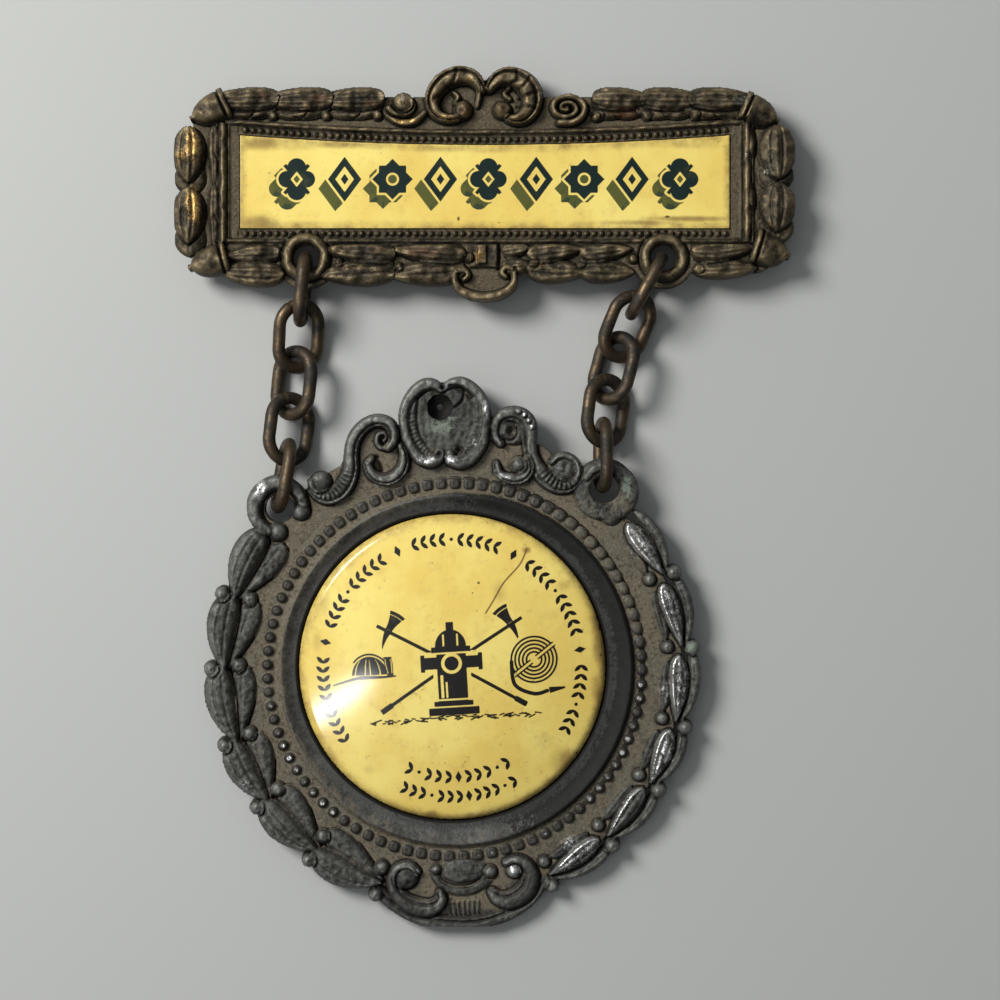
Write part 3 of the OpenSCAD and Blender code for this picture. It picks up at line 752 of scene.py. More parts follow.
# %% Wreath leaves: on the left a broad leaf outside a slender one, both smooth and dark
for k in range(6):
    top_joint, low_joint = LEFT_JOINTS[k:k + 2]
    middle, span = (top_joint + low_joint) / 2, math.radians(low_joint - top_joint) * 23.6
    inner = down_ring(wreath, -1, middle + 0.7, 22.55, 6.0)
    leaf(wreath, inner, span * 1.06, 2.7, 2.05, ends=(1.0, 0.45), veins=(0.1,), cut=0.08,
         bend=-0.5, slant=0.9, moat=0.5)
    outer = down_ring(wreath, -1, middle + 0.4, 23.85, 6.0)
    leaf(wreath, outer, span * 1.1, 3.35, 2.75, ends=(0.85, 0.5), veins=(-0.25, 0.3), cut=0.13,
         bend=0.35, slant=-0.25, moat=0.4)
tell("left leaves", wreath)

# %% Wreath leaves: on the right a slender leaf with a sharp inner edge, and a strip outside it
for k in range(6):
    top_joint, low_joint = RIGHT_JOINTS[k:k + 2]
    middle, span = (top_joint + low_joint) / 2, math.radians(low_joint - top_joint) * 23.6
    strip = down_ring(wreath, 1, middle + 0.3, 24.55, 6.0)
    leaf(wreath, strip, span * 1.04, 1.5, 2.1, ends=(0.75, 0.6), veins=(0.0,), cut=0.06,
         bend=0.5, slant=-0.3, moat=0.4)
    low = down_ring(wreath, 1, middle + 0.8, 22.3, 6.0)
    leaf(wreath, low, span * 0.7, 1.5, 1.75, ends=(0.8, 0.6), veins=(0.0,), cut=0.08, moat=0.1)
    bright = down_ring(wreath, 1, middle + 1.0, 23.65, 6.0)
    shine = (0.9, 0.95, 1.1, 1.2, 0.6, 1.1)[k]
    leaf(wreath, bright, span * 0.9, 2.25, 2.6, ends=(0.95, 0.5), veins=(-0.2, 0.4),
         cut=0.12, crest=(-0.62, 0.34), bend=-0.1, slant=0.2, moat=0.45, mark=("wear_and_glint", shine))
tell("right leaves", wreath)

# %% Berries at the joints
for side, joints in ((-1, LEFT_JOINTS), (1, RIGHT_JOINTS)):
    for k in range(1, 7):
        inner_r, inner_size = (22.15, 0.8) if side < 0 else (22.4, 0.68)
        for r, size, shift in ((inner_r, inner_size, -0.3), (24.95, 0.84, 0.5)):
            x, y = at_angle(side * (joints[k] + shift), r)
            ball(wreath, x, y, size, 1.2, 1.35 if r > 24 else 0.95, moat=0.35)
            dent(wreath, x + 0.1, y - 0.1, 0.2, 0.12)
tell("berries", wreath)

# %% [markdown]
# ## Finial and scrolls
# The scrolls are bands that swell and thin along their run. A curve with a bevel could give
# them, but it couldn't melt into the plate. So each is a row of spots with half widths, and
# a flat arch is carried along the smooth line through them.

# %% The finial's two lobes
FINIAL_LEFT = [
    (441.5, 390, 0.3), (436, 385.5, 0.46), (427.5, 384.5, 0.56), (418.5, 389, 0.54), (410.5, 398, 0.5),
    (405.2, 410, 0.48), (404.6, 424, 0.48), (408, 438, 0.48), (413.5, 449.5, 0.5), (421.5, 458.5, 0.54),
    (430.5, 461.3, 0.6), (437.5, 458.5, 0.58), (440.5, 453.5, 0.46),
]
FINIAL_RIGHT = [
    (443.5, 389, 0.25), (452, 383.5, 0.34), (463, 382.5, 0.38), (475, 390, 0.4), (483.5, 402, 0.4),
    (486.5, 415, 0.4), (486, 430, 0.4), (481.5, 445, 0.42), (472.5, 457.5, 0.46),
    (461.5, 462.5, 0.5), (452, 460, 0.46), (450, 453.5, 0.36),
]
RIB_LEFT = [(415, 401, 0.3), (412.5, 408, 0.5), (411.8, 416, 0.55), (413, 428, 0.55),
            (417, 440, 0.55), (424.5, 450.5, 0.5), (432, 455.5, 0.3)]
RIB_RIGHT = [(474.5, 400, 0.25), (479, 411, 0.45), (479.2, 424, 0.6), (475.5, 437, 0.68),
             (468.5, 449, 0.6), (461, 455.5, 0.3)]
heart = wreath.near(*on_medal(445, 420), 4.6)
hx, hy = wreath.X[heart] - 0.67, wreath.Y[heart] - 25.5
wreath.H[heart] += 0.62 * np.clip((3.9 - np.hypot(hx, hy)) / 0.5, 0, 1)
on_wreath(band, RIB_LEFT, 1.6, 2.25, ribs=(0.2, 0.98), rib_mm=0.42, moat=0.14)
on_wreath(band, RIB_RIGHT, 1.6, 2.15, ribs=(0.3, 0.98), rib_mm=0.46, moat=0.04)
on_wreath(band, FINIAL_LEFT, 1.4, 2.5, by=1.2, moat=0.16)
on_wreath(band, FINIAL_RIGHT, 1.4, 2.38, by=1.45, moat=0.1)
HOOK = [(450, 386, 0), (460, 386.5, 0), (464.5, 392, 0), (462, 402, 0), (455.5, 407.5, 0)]
on_wreath(groove, HOOK, 0.34, 0.12)
for px, py, radius, depth in ((440, 454, 0.34, 0.9), (459.3, 450.2, 0.3, 0.8), (443, 388, 0.22, 0.7)):
    dent(wreath, *on_medal(px, py), radius, depth)
tell("finial", wreath)

# %% The left scroll: a long S, its inner curl, and the small one beside it
LEFT_SCROLL = [
    (388.5, 447.5, 0.36), (393.5, 441, 0.46), (394, 431.5, 0.52), (389, 423.5, 0.56),
    (378.5, 420.5, 0.58), (367.5, 424, 0.6), (358.5, 432.5, 0.62), (353.2, 443, 0.62),
    (351.3, 455.5, 0.64), (351.5, 467, 0.68), (348.5, 479, 0.76), (341.5, 489.5, 0.84),
    (331.5, 496, 0.78), (321.5, 496, 0.6), (314, 490, 0.46), (311.5, 482, 0.36),
]
LEFT_SPIRAL = [(392, 441, 0.2), (388.5, 447, 0.24), (382, 448, 0.25), (377.5, 442.5, 0.26),
               (378.5, 435.5, 0.25), (384, 433, 0.22), (387.5, 437, 0.18), (384.5, 441, 0.15)]
LEFT_INNER = [
    (401.5, 446, 0.26), (404.5, 455, 0.4), (404, 465, 0.48), (399, 474, 0.54), (390, 479.5, 0.54),
    (379.5, 479, 0.5), (371.5, 473, 0.44), (368.5, 464.5, 0.36), (372, 459, 0.26),
]
on_wreath(band, LEFT_SPIRAL, 1.2, 2.1, moat=0.2)
on_wreath(band, LEFT_SCROLL, 1.15, 2.45, by=1.18, rim_side=1, rim=0.24, ribs=(0.6, 0.93),
          rib_mm=0.46, moat=0.4)
on_wreath(band, LEFT_INNER, 1.15, 2.3, by=1.25, rim_side=1, rim=0.26, moat=0.4)
on_wreath(groove, [(378, 458, 0), (379.5, 464, 0), (381.5, 470, 0)], 0.6, 0.26)
ball(wreath, *on_medal(321, 482), 1.15, 1.25, 1.1, moat=0.4)
tell("left scroll", wreath)

# %% The right scroll: an oval head with an eye, an arm, and a volute round a pearl
RIGHT_SCROLL = [
    (501, 443.5, 0.3), (496.5, 435, 0.42), (497, 424, 0.5), (503, 416.5, 0.56), (513, 414, 0.62),
    (522.5, 417, 0.68), (528.5, 425, 0.7), (530, 436, 0.6), (530, 447, 0.54), (532.5, 458, 0.54),
    (538.5, 469, 0.6), (547, 479, 0.66), (558, 485.5, 0.64), (568.5, 486, 0.54), (576.5, 480, 0.42),
    (579, 470.5, 0.34), (575.5, 461, 0.3), (567, 455.8, 0.28), (558, 456.5, 0.26), (552, 462, 0.22),
]
RIGHT_INNER = [(496.5, 464, 0.24), (499, 473, 0.32), (506, 478, 0.36), (516, 479.5, 0.42),
               (525, 476, 0.44), (529.5, 468, 0.38), (527.5, 459, 0.3)]
mound(wreath, *on_medal(513.5, 428), 2.0, 1.75, 1.85)
mound(wreath, *on_medal(564, 470), 1.7, 1.7, 1.8)
on_wreath(band, RIGHT_SCROLL, 1.15, 2.3, by=1.35, rim_side=-1, rim=0.24, ribs=(0.53, 0.78),
          rib_mm=0.5, moat=0.35)
on_wreath(band, RIGHT_INNER, 1.15, 2.2, by=1.5, rim_side=-1, moat=0.35)
ball(wreath, *on_medal(508, 431), 0.95, 1.5, 0.7, moat=0.3)
dent(wreath, *on_medal(511.5, 432), 0.45, 0.75)
ball(wreath, *on_medal(519, 465), 0.9, 1.2, 0.95, moat=0.3)
ball(wreath, *on_medal(564, 469.5), 1.2, 1.55, 0.55, moat=0.3)
dent(wreath, *on_medal(565.5, 466.5), 0.28, 0.22)
for k, (px, py) in enumerate(((519, 411.5), (524.5, 415), (529, 420.5), (532, 427))):
    ball(wreath, *on_medal(px, py), 0.3, 2.0, 0.4, moat=0.2, mark="wear_and_glint")
tell("right scroll", wreath)

# %% [markdown]
# ## Ears and foot
# The chains hang in the two ears, and the foot is a small cartouche. They are bands, balls
# and mounds again, laid in the order in which they overlap, for a later form cuts its moat
# into an earlier one.

# %% Ears with their balls
LEFT_EAR = [(304, 504, 0.46), (299, 493, 0.5), (288.5, 485, 0.56), (275.5, 483, 0.62),
            (263.5, 489, 0.64), (256, 500, 0.64), (255, 513, 0.6), (260, 524, 0.54), (269, 531, 0.46)]
RIGHT_EAR = [(586, 478, 0.26), (594, 469.5, 0.3), (606, 466.5, 0.32), (618, 471, 0.42),
             (626.5, 480, 0.54), (629.5, 491.5, 0.6), (626.5, 503, 0.6), (619, 511, 0.5)]
on_wreath(band, LEFT_EAR, 1.15, 2.3, by=1.3, moat=0.3)
ball(wreath, *on_medal(301.5, 511), 0.95, 1.2, 1.0, moat=0.35)
ball(wreath, *on_medal(278, 532), 0.98, 1.2, 1.0, moat=0.35)
mound(wreath, *at_angle(EAR_ANGLE, EAR_R), 3.2, 3.2, 1.95, 0.6)
on_wreath(band, RIGHT_EAR, 1.3, 2.15, by=1.7, moat=0.1)
ball(wreath, *on_medal(611, 514.5), 1.1, 1.35, 0.55, moat=0.15)
tell("ears", wreath)

# %% Foot of the medallion: a boss, a pearl, their arms, the cup and the flutes
RIM_ARC = [(374, 888, 0.35), (383, 899, 0.5), (396, 909, 0.56), (412, 918, 0.58), (431, 924, 0.6),
           (452, 926.5, 0.6), (472, 926.5, 0.6), (491, 923, 0.6), (510, 916, 0.58),
           (526, 906, 0.54), (538, 894, 0.46), (546, 882, 0.35)]
LEFT_ARM = [
    (417, 874, 0.34), (408.5, 868, 0.44), (398, 871, 0.5), (393, 881, 0.56), (395.5, 893, 0.62),
    (403, 902.5, 0.72), (414, 908.5, 0.78), (426, 911, 0.78), (436, 908, 0.66), (441, 901, 0.5),
    (440, 895, 0.34),
]
RIGHT_ARM = [(507, 864.5, 0.36), (517, 862.5, 0.5), (526, 868, 0.64), (530.5, 878, 0.76),
             (528.5, 889, 0.82), (520.5, 897.5, 0.82), (509.5, 902.5, 0.76), (499, 901, 0.6),
             (492.5, 894.5, 0.4)]
CUP = [(433, 872, 0.3), (436.5, 879.5, 0.38), (443, 887.5, 0.42), (452, 891.5, 0.44),
       (462, 892.5, 0.44), (472, 891, 0.44), (481, 886.5, 0.42), (488, 880, 0.42)]
cx, cy = on_medal(464, 911)
flutes = wreath.near(cx, cy, 2.6)
fx, fy = wreath.X[flutes], wreath.Y[flutes]
spread = (fx - cx) / (1 + 0.05 * (fy - cy))
window = np.clip((1.95 - np.abs(spread)) / 0.3, 0, 1)
window = window * np.clip((0.85 - np.abs(fy - cy)) / 0.15, 0, 1)
wreath.H[flutes] += 0.22 * window * (0.5 + 0.5 * np.cos(2 * np.pi * spread / 0.5))
mound(wreath, *on_medal(463, 873), 2.5, 1.35, 1.8)
on_wreath(band, CUP, 1.2, 1.65, by=1.5, moat=0.05)
CUP_LINE = [(438.5, 873, 0), (441.5, 881, 0), (449, 886.5, 0), (460, 888.5, 0), (471, 887, 0),
            (480, 881.5, 0)]
on_wreath(groove, CUP_LINE, 0.5, 0.16)
ball(wreath, *on_medal(436.5, 871.5), 0.55, 1.2, 0.75, moat=0.3)
ball(wreath, *on_medal(490.5, 874), 0.72, 1.2, 0.85, moat=0.35)
on_wreath(band, RIM_ARC, 1.0, 1.95, by=1.35, rim_side=1, rim=0.34, moat=0.2)
on_wreath(band, LEFT_ARM, 1.15, 2.35, by=1.25, rim_side=1, rim=0.26, moat=0.4)
on_wreath(band, RIGHT_ARM, 1.15, 2.35, by=1.3, rim_side=-1, rim=0.24, moat=0.4)
ball(wreath, *on_medal(405.5, 879), 1.32, 1.2, 1.15, moat=0.5)
dent(wreath, *on_medal(409, 884.5), 0.25, 0.25)
# The pearl's bright mark is rubbed metal and a painted glint.
ball(wreath, *on_medal(514.5, 873), 0.82, 1.2, 1.15, moat=0.45, mark="wear_and_glint")
tell("foot", wreath)

# %% [markdown]
# ## Wear, dirt and some painted shade as masks
# An image could hold the dirt and the rubbed spots, but a mask on the mesh needs no file and
# stays with its place. Each row is a soft oval: a spot, two half sizes and a strength. Some of
# the dark spots are in part painted shade. The finish reads the masks and breaks them up with
# noise.

# %% Where the medallion is worn, stained or green
paint_all(wreath, on_medal, {
    "tan": [
        (356, 520, 3.4, 2.4, 0.8), (383, 456, 2.2, 2.4, 0.9), (512, 452, 1.6, 2.2, 0.8),
        (577, 520, 5.0, 2.4, 1.0), (272, 640, 1.8, 6.5, 0.8), (268, 740, 1.8, 3.0, 0.5),
        (632, 560, 2.2, 3.6, 0.9), (650, 620, 1.6, 3.0, 0.6), (425, 897, 1.7, 1.4, 0.9),
        (464, 900, 3.0, 1.0, 0.8), (505, 886, 1.6, 1.4, 0.9), (290, 560, 2.0, 2.4, 0.9),
        (620, 500, 2.6, 2.6, 1.0),
    ],
    # These spots darken the foot, the plate below the finial and a strip beside the left scroll: dirt, and
    # in part painted shade.
    "soot_and_shade": [
        (397, 895, 2.6, 3.0, 0.9), (455, 921, 6.0, 1.2, 0.9), (527, 892, 2.2, 3.2, 0.9),
        (345, 455, 1.4, 3.6, 0.4), (440, 468, 5.0, 1.0, 0.5),
    ],
    "green": [
        (441, 427, 1.5, 0.9, 0.9), (452, 420, 0.9, 0.7, 0.6), (627, 487, 0.6, 1.4, 0.9),
        (693, 648, 0.8, 0.8, 1.0), (563, 470, 0.9, 0.9, 0.5), (588, 512, 2.4, 1.0, 0.5),
    ],
    "wear_and_glint": [
        (262, 492, 0.7, 1.6, 0.7), (515, 494, 0.7, 0.6, 1.0), (426, 460, 1.2, 0.5, 0.9),
        (451, 459, 0.8, 0.5, 0.8), (474, 442, 0.7, 1.6, 0.4), (486, 408, 0.4, 1.2, 0.7),
        (505, 476, 1.0, 0.4, 0.8), (247, 785, 0.9, 0.8, 0.5), (668, 690, 1.4, 2.0, 0.4),
        (640, 545, 1.3, 1.8, 0.6), (668, 756, 0.7, 1.0, 0.9), (573, 846, 1.6, 1.2, 0.5),
        (268, 578, 0.9, 0.6, 0.4),
    ],
})

# %% Holes, and the wreath as a solid
for side in (-1, 1):
    ex, ey = at_angle(side * EAR_ANGLE, EAR_R)
    wreath.F = np.minimum(wreath.F, np.hypot(wreath.X - ex, wreath.Y - ey) - EAR_HOLE)
# In the photograph the finial's hole is dark. So here a funnel narrows it to FINIAL_OPEN, while
# the CAD solid has a plain bore of FINIAL_HOLE all the way through. The black funnel is
# painted shade: it stands where the hole would only be shaded.
bore = np.hypot(wreath.X - FINIAL_X, wreath.Y - FINIAL_Y)
wreath.F = np.minimum(wreath.F, bore - FINIAL_OPEN)
crumble(wreath, 5, 0.022, 0.03)
finish_field(wreath)
floor = 0.35 + 0.3 * np.clip(bore - 0.5, 0, 1)
wreath.H = np.where(bore < FINIAL_HOLE, floor, wreath.H)
wreath.marks["field"][bore < FINIAL_HOLE] = 0
# Painted shade: the funnel is made black through the crevice mask.
wreath.marks["crevice"][bore < FINIAL_HOLE + 0.08] = -0.5
upright = wreath.X * math.sin(MEDAL_TURN) + wreath.Y * math.cos(MEDAL_TURN)
wreath.F = np.minimum(wreath.F, upright + MEDAL_MIDDLE[1] - LOWEST_Y)
wreath.F = np.minimum(wreath.F, np.hypot(wreath.X, wreath.Y) - RING_R)
wreath_piece = closed("medallion_wreath", wreath, place_on_medal)

# %% [markdown]
# ## The ring of beads
# Inside the wreath a ring of 84 beads runs round a smooth cove that holds the button. It is
# worked out on a ring of its own, in angle and radius, so that each bead gets enough faces.
# The beads are square pads at the top and bottom, round at the left and lower right, and
# nearly merged into a wavy ridge at the upper right.

# %% Ring of beads
BEADS, BEAD_R, SEAT_Z = 84, 19.4, 0.5


def bead_height(angle, radius):
    """A bead is the round or square arch of its two shares; p in between squares it."""
    pitch = 2 * np.pi / BEADS
    turn = np.degrees(np.arctan2(np.sin(angle), np.cos(angle)))
    k = np.round(angle / pitch)
    a = (angle - k * pitch) * BEAD_R
    b = radius - BEAD_R - 0.2 * np.sin(angle) + 0.33 * np.cos(angle)
    square = bell(turn + 8, 46, 4) + bell(180 - np.abs(turn), 34, 4)
    merged = bell(turn - 62, 30, 4)
    p = 2 + 1.4 * square
    half_a = 0.58 + 0.2 * merged + 0.02 * square
    rho = (np.abs(a / half_a) ** p + np.abs(b / 0.62) ** p) ** (1 / p)
    dome = round_arch(rho)
    pad = 0.72 * dome ** 0.7 - 0.16 * bell(rho, 0.4)
    tip = dome - 0.12 * bell(rho, 0.3)
    return tip * (1 - square) + pad * square, rho, merged


# %% The ring's profile, carried round
PROFILE = np.array([
    (16.02, 1.16), (16.10, 1.30), (16.35, 1.36), (16.8, 1.42), (17.3, 1.55), (17.8, 1.76),
    (18.12, 1.9), (18.3, 1.96), (18.45, 1.93), (18.6, 1.78), (18.75, 1.55), (18.9, 1.4),
    (19.1, 1.35), (19.6, 1.34), (19.9, 1.33), (21.4, 1.33),
])
radii = np.concatenate([
    [0.02, 8.0, 14.0, 15.9, 16.0], np.linspace(16.02, 18.3, 18), np.linspace(18.36, 20.7, 36),
    [20.71, 20.02, 20.0, 12.0, 0.02],
])
BEAD_COLUMNS = slice(23, 59)
turns = np.arange(BEADS * 14) * 2 * np.pi / (BEADS * 14)
level = np.interp(radii, PROFILE[:, 0], PROFILE[:, 1])
level[:5] = (SEAT_Z, SEAT_Z, SEAT_Z, SEAT_Z, SEAT_Z + 0.06)
level[-5:] = (0.4, 0.4, 0.0, 0.0, 0.0)
R, A = np.meshgrid(radii, turns)
shift = (-0.25 + 0.38 * np.sin(A) - 0.28 * np.cos(A)) * np.clip((R - 16.4) / 1.4, 0, 1)
Z = np.interp(R - shift, PROFILE[:, 0], PROFILE[:, 1])
Z = np.minimum(Z, np.interp(R, [19.9, 20.0, 20.3, 20.5], [2.0, 1.3, 1.295, 1.2]))
Z[:, :5] = level[:5]
Z[:, -5:] = level[-5:]
beads, rho, merged = bead_height(A[:, BEAD_COLUMNS], R[:, BEAD_COLUMNS])
nth = np.round(A[:, BEAD_COLUMNS] * BEADS / (2 * np.pi))
beads *= 0.9 + 0.14 * np.sin(1.7 * nth) * np.sin(0.63 * nth)
Z[:, BEAD_COLUMNS] = smooth_max(Z[:, BEAD_COLUMNS], 1.2 + 0.72 * beads, 0.05)
rows_n, cols_n = R.shape
grid = np.arange(rows_n * cols_n).reshape(rows_n, cols_n)
nxt = np.roll(grid, -1, axis=0)
quads = np.stack([grid[:, :-1], grid[:, 1:], nxt[:, 1:], nxt[:, :-1]], -1).reshape(-1, 4)
points = np.stack([R * np.sin(A), R * np.cos(A), Z], -1).reshape(-1, 3)
poles = np.array([[0, 0, SEAT_Z], [0, 0, 0]])
first, last = len(points), len(points) + 1
caps = np.concatenate([
    np.stack([np.full(rows_n, first), grid[:, 0], nxt[:, 0]], 1),
    np.stack([np.full(rows_n, last), nxt[:, -1], grid[:, -1]], 1),
])
points = np.concatenate([points, poles])

# %% Masks of the ring
on_bead = np.zeros(R.shape)
on_bead[:, BEAD_COLUMNS] = np.clip((1.0 - rho) / 0.15, 0, 1) * (1 - 0.75 * merged)
# Painted shadow: a dark crescent outside each bead on the ring's right side, away from the window, read
# through the crevice mask.
below = np.zeros(R.shape)
away_from_window = np.clip(np.sin(A[:, BEAD_COLUMNS] + 0.25), 0, 1) ** 0.7
below[:, BEAD_COLUMNS] = bell(rho - 1.12, 0.16) * away_from_window * (R[:, BEAD_COLUMNS] > 19.45)
# Painted glints: bright bare metal on the bead tips, most on the lower left, the lower right and the
# bottom, uneven from bead to bead. It also stands for rubbed metal.
tip_glint = np.zeros(R.shape)
tip_glint[:, BEAD_COLUMNS] = bell(rho, 0.45)
turn = np.degrees(np.arctan2(np.sin(A), np.cos(A)))
glint_turns = bell(turn - 118, 28, 4) + 0.9 * bell(turn + 122, 26, 4)
glint_turns += 0.5 * bell(turn - 165, 14, 4)
uneven = 0.45 + 0.55 * np.sin(np.round(A * BEADS / (2 * np.pi)) * 2.4) ** 2
# Painted shade: a dark ring in the gap at the button's seat, read through the crevice mask.
near_seat = bell(R - 16.0, 0.28) * 0.3
hollow = 0.12 * on_bead - 0.06
hollow += np.where(np.abs(R - shift - 18.31) < 0.11, 0.12, 0)
in_cove = np.clip((18.9 - R + shift) / 0.4, 0, 1)
masks = {
    "cavity": hollow,
    "crevice": -near_seat - 0.05 * bell(R - shift - 18.9, 0.1) - 0.3 * below,
    "field": np.clip((R - shift - 18.5) / 0.2, 0, 1) * (1 - on_bead),
    "tan": np.clip((R - 17.1) / 0.5, 0, 1) * (R < 18.8) * (0.45 - 0.4 * np.sin(A)),
    # Painted shade: the right half of the cove, away from the window, is darkened.
    "soot_and_shade": 2.6 * bell(turn - 85, 72, 4) * in_cove,
    "cove": np.clip((17.5 - R) / 0.9, 0, 1) * (0.66 + 0.34 * np.sin(A)),
    "bead": on_bead,
    "wear_and_glint": tip_glint * np.clip(glint_turns, 0, 1) * uneven,
}
marks = {key: np.append(mask.ravel(), [0, 0]) for key, mask in masks.items()}
ring_piece = build("medallion_ring", place_on_medal(points), quads[:, ::-1], caps[:, ::-1], marks)

# %% [markdown]
# ## The bar
# One bronze casting: a picture frame round the slip's pit, laurel leaves all round, acorns
# at the corners, a pair of volutes as the crest, a small cartouche below, and two eyelets.
# The leaves are laid like scales, from the middle outwards, so each overlaps the next.

# %% Sizes of the bar
BAR_L, BAR_UP, BAR_DOWN, BAR_CORNER = 58.0, 8.8, 9.4, 2.4
SLIP_L, SLIP_H, SLIP_SAG, SLIP_GAP = 50.6, 9.6, 1.0, 0.1
EYELET_X, EYELET_Y, EYELET_HOLE = 18.5, -7.8, 1.35

bar = Relief((-32.3, 32.3), (-12.8, 12.2), 0.0955, PLATE)


def slip_inside(x, y, grow):
    """How far a spot is inside the slip's outline: straight below, sagging above."""
    half_l, half_h = SLIP_L / 2 + grow, SLIP_H / 2 + grow
    top = half_h - SLIP_SAG * (1 - np.clip(x / half_l, -1, 1) ** 2)
    return np.minimum(np.minimum(half_l - np.abs(x), top - y), y + half_h)


middle_y = (BAR_UP - BAR_DOWN) / 2
out_x = np.abs(bar.X) - (BAR_L / 2 + 1.2 - BAR_CORNER)
out_y = np.abs(bar.Y - middle_y) - ((BAR_UP + BAR_DOWN) / 2 - BAR_CORNER)
corner = np.hypot(np.maximum(out_x, 0), np.maximum(out_y, 0))
bar.F = BAR_CORNER - corner - np.minimum(np.maximum(out_x, out_y), 0)


def along_bar(form, rows, *sizes, **more):
    """A band or a groove on the bar along rows of the picture."""
    form(bar, traced(on_bar, rows), *sizes, **more)


# %% Leaves along the top: a round end towards the middle, a slender lobe and a berry below
def bar_leaf(box, tip_deg, top, veins=(-0.2, 0.35), cut=0.12, ends=(0.8, 0.45), **more):
    """A leaf that fills a box of the picture, x0, x1, y0, y1, with its tip along tip_deg."""
    x, y = on_bar((box[0] + box[1]) / 2, (box[2] + box[3]) / 2)
    wide, high = (box[1] - box[0]) * PX, (box[3] - box[2]) * PX
    lies_flat = abs(math.cos(math.radians(tip_deg))) > 0.7
    length, width = (wide, high) if lies_flat else (high, wide)
    spot = straight(bar, x, y, tip_deg, 0.6 * length + 0.5)
    leaf(bar, spot, length, width, top, veins=veins, cut=cut, ends=ends, **more)


def bar_ball(px, py, radius, rise, foot=1.3, moat=0.3):
    """A berry at a spot of the picture."""
    ball(bar, *on_bar(px, py), radius, foot, rise, moat)


for px0, px1, side in ((330, 386, 1), (275, 335, 1), (222, 281, 1),
                       (593, 643, -1), (641, 693, -1), (689, 746, -1)):
    tip = 180 if side > 0 else 0
    base, far = (px1, px0) if side > 0 else (px0, px1)
    mid = (px0 + px1) / 2
    low = sorted((mid - side * 10, base - side * 3))
    bar_leaf((low[0] - 8, low[1], 103, 119), tip + side * 8, 1.95, (0.0,), 0.12, (0.75, 0.55))
    low = sorted((far, mid + side * 4))
    bar_leaf((*low, 105, 119), tip + side * 4, 1.8, (0.1,), 0.1, (0.7, 0.55))
    over = sorted((base, far - side * 11))
    bar_leaf((*over, 86.5, 111), tip + side * 2, 2.5, (-0.4, 0.1, 0.55), 0.14, (0.5, 0.3), moat=0.4)
    bar_ball(base - side * 7, 115, 0.5, 0.6)
tell("top leaves", bar)

# %% Leaves down the two sides
for side, leaves in ((-1, ((126, 183, -90), (187, 244, -90))), (1, ((124, 180, -88), (182, 232, -92)))):
    edge, inner = (173.5, 207) if side < 0 else (797, 758)
    for y0, y1, tip in leaves:
        within = sorted((inner - side * 2, inner - side * 16))
        bar_leaf((*within, y0 - 4, y1 - 10), -90, 1.95, (0.0,), 0.1, (0.7, 0.6))
        within = sorted((inner - side * 5, inner - side * 13))
        bar_leaf((*within, y1 - 28, y1 + 2), -90, 1.9, (0.0,), 0.1, (0.7, 0.7))
    for y0, y1, tip in leaves:
        span = sorted((edge, inner))
        back = sorted((edge - side * 2, inner))
        bar_leaf((*back, y1 - 26, y1 + 12), -90, 1.9, (0.0,), 0.1, (0.6, 0.7))
        bar_leaf((*span, y0, y1), tip, 2.6, (-0.35, 0.3), 0.15, (0.62, 0.5),
                 crest=(-0.05 * side, 0.1))
tell("side leaves", bar)

# %% Leaves along the bottom
bar_leaf((224, 284, 243, 264), 183, 2.25, (-0.3, 0.3), 0.14, (0.9, 0.5))
bar_leaf((223, 286, 259, 286), 178, 2.4, (-0.5, 0.0, 0.45), 0.16, (0.6, 0.45))
for px0, px1 in ((386, 467), (318, 397)):
    bar_leaf((px0 + 8, px1 - 20, 248, 262), 160, 1.9, (0.0,), 0.12, (0.8, 0.6))
    bar_leaf((px0, px1, 257, 286), 184, 2.35, (-0.35, 0.2), 0.15, (0.8, 0.4))
    bar_leaf((px0 + 3, px1, 240, 263), 176, 2.4, (-0.3, 0.25), 0.14, (0.9, 0.4))
bar_leaf((503, 531, 240, 257), 8, 2.1, (-0.2, 0.3), 0.14)
bar_leaf((503, 533, 256, 275), 0, 2.1, (-0.2, 0.3), 0.14)
for px0, px1 in ((528, 588), (580, 636)):
    bar_leaf((px0, px1, 257, 283), 356, 2.3, (-0.35, 0.25), 0.15, (0.75, 0.4))
    bar_leaf((px0, px1 - 2, 240, 262), 6, 2.4, (-0.3, 0.25), 0.14, (0.9, 0.4))
bar_leaf((694, 758, 258, 278), 2, 2.3, (-0.3, 0.3), 0.13, (0.6, 0.45))
bar_leaf((692, 756, 235, 262), 3, 2.4, (-0.4, 0.1, 0.5), 0.15, (0.85, 0.42))
for px, py in ((340, 262), (400, 266), (470, 257), (535, 262), (582, 263), (634, 258), (700, 268)):
    bar_ball(px, py, 0.48, 0.6)
tell("bottom leaves", bar)


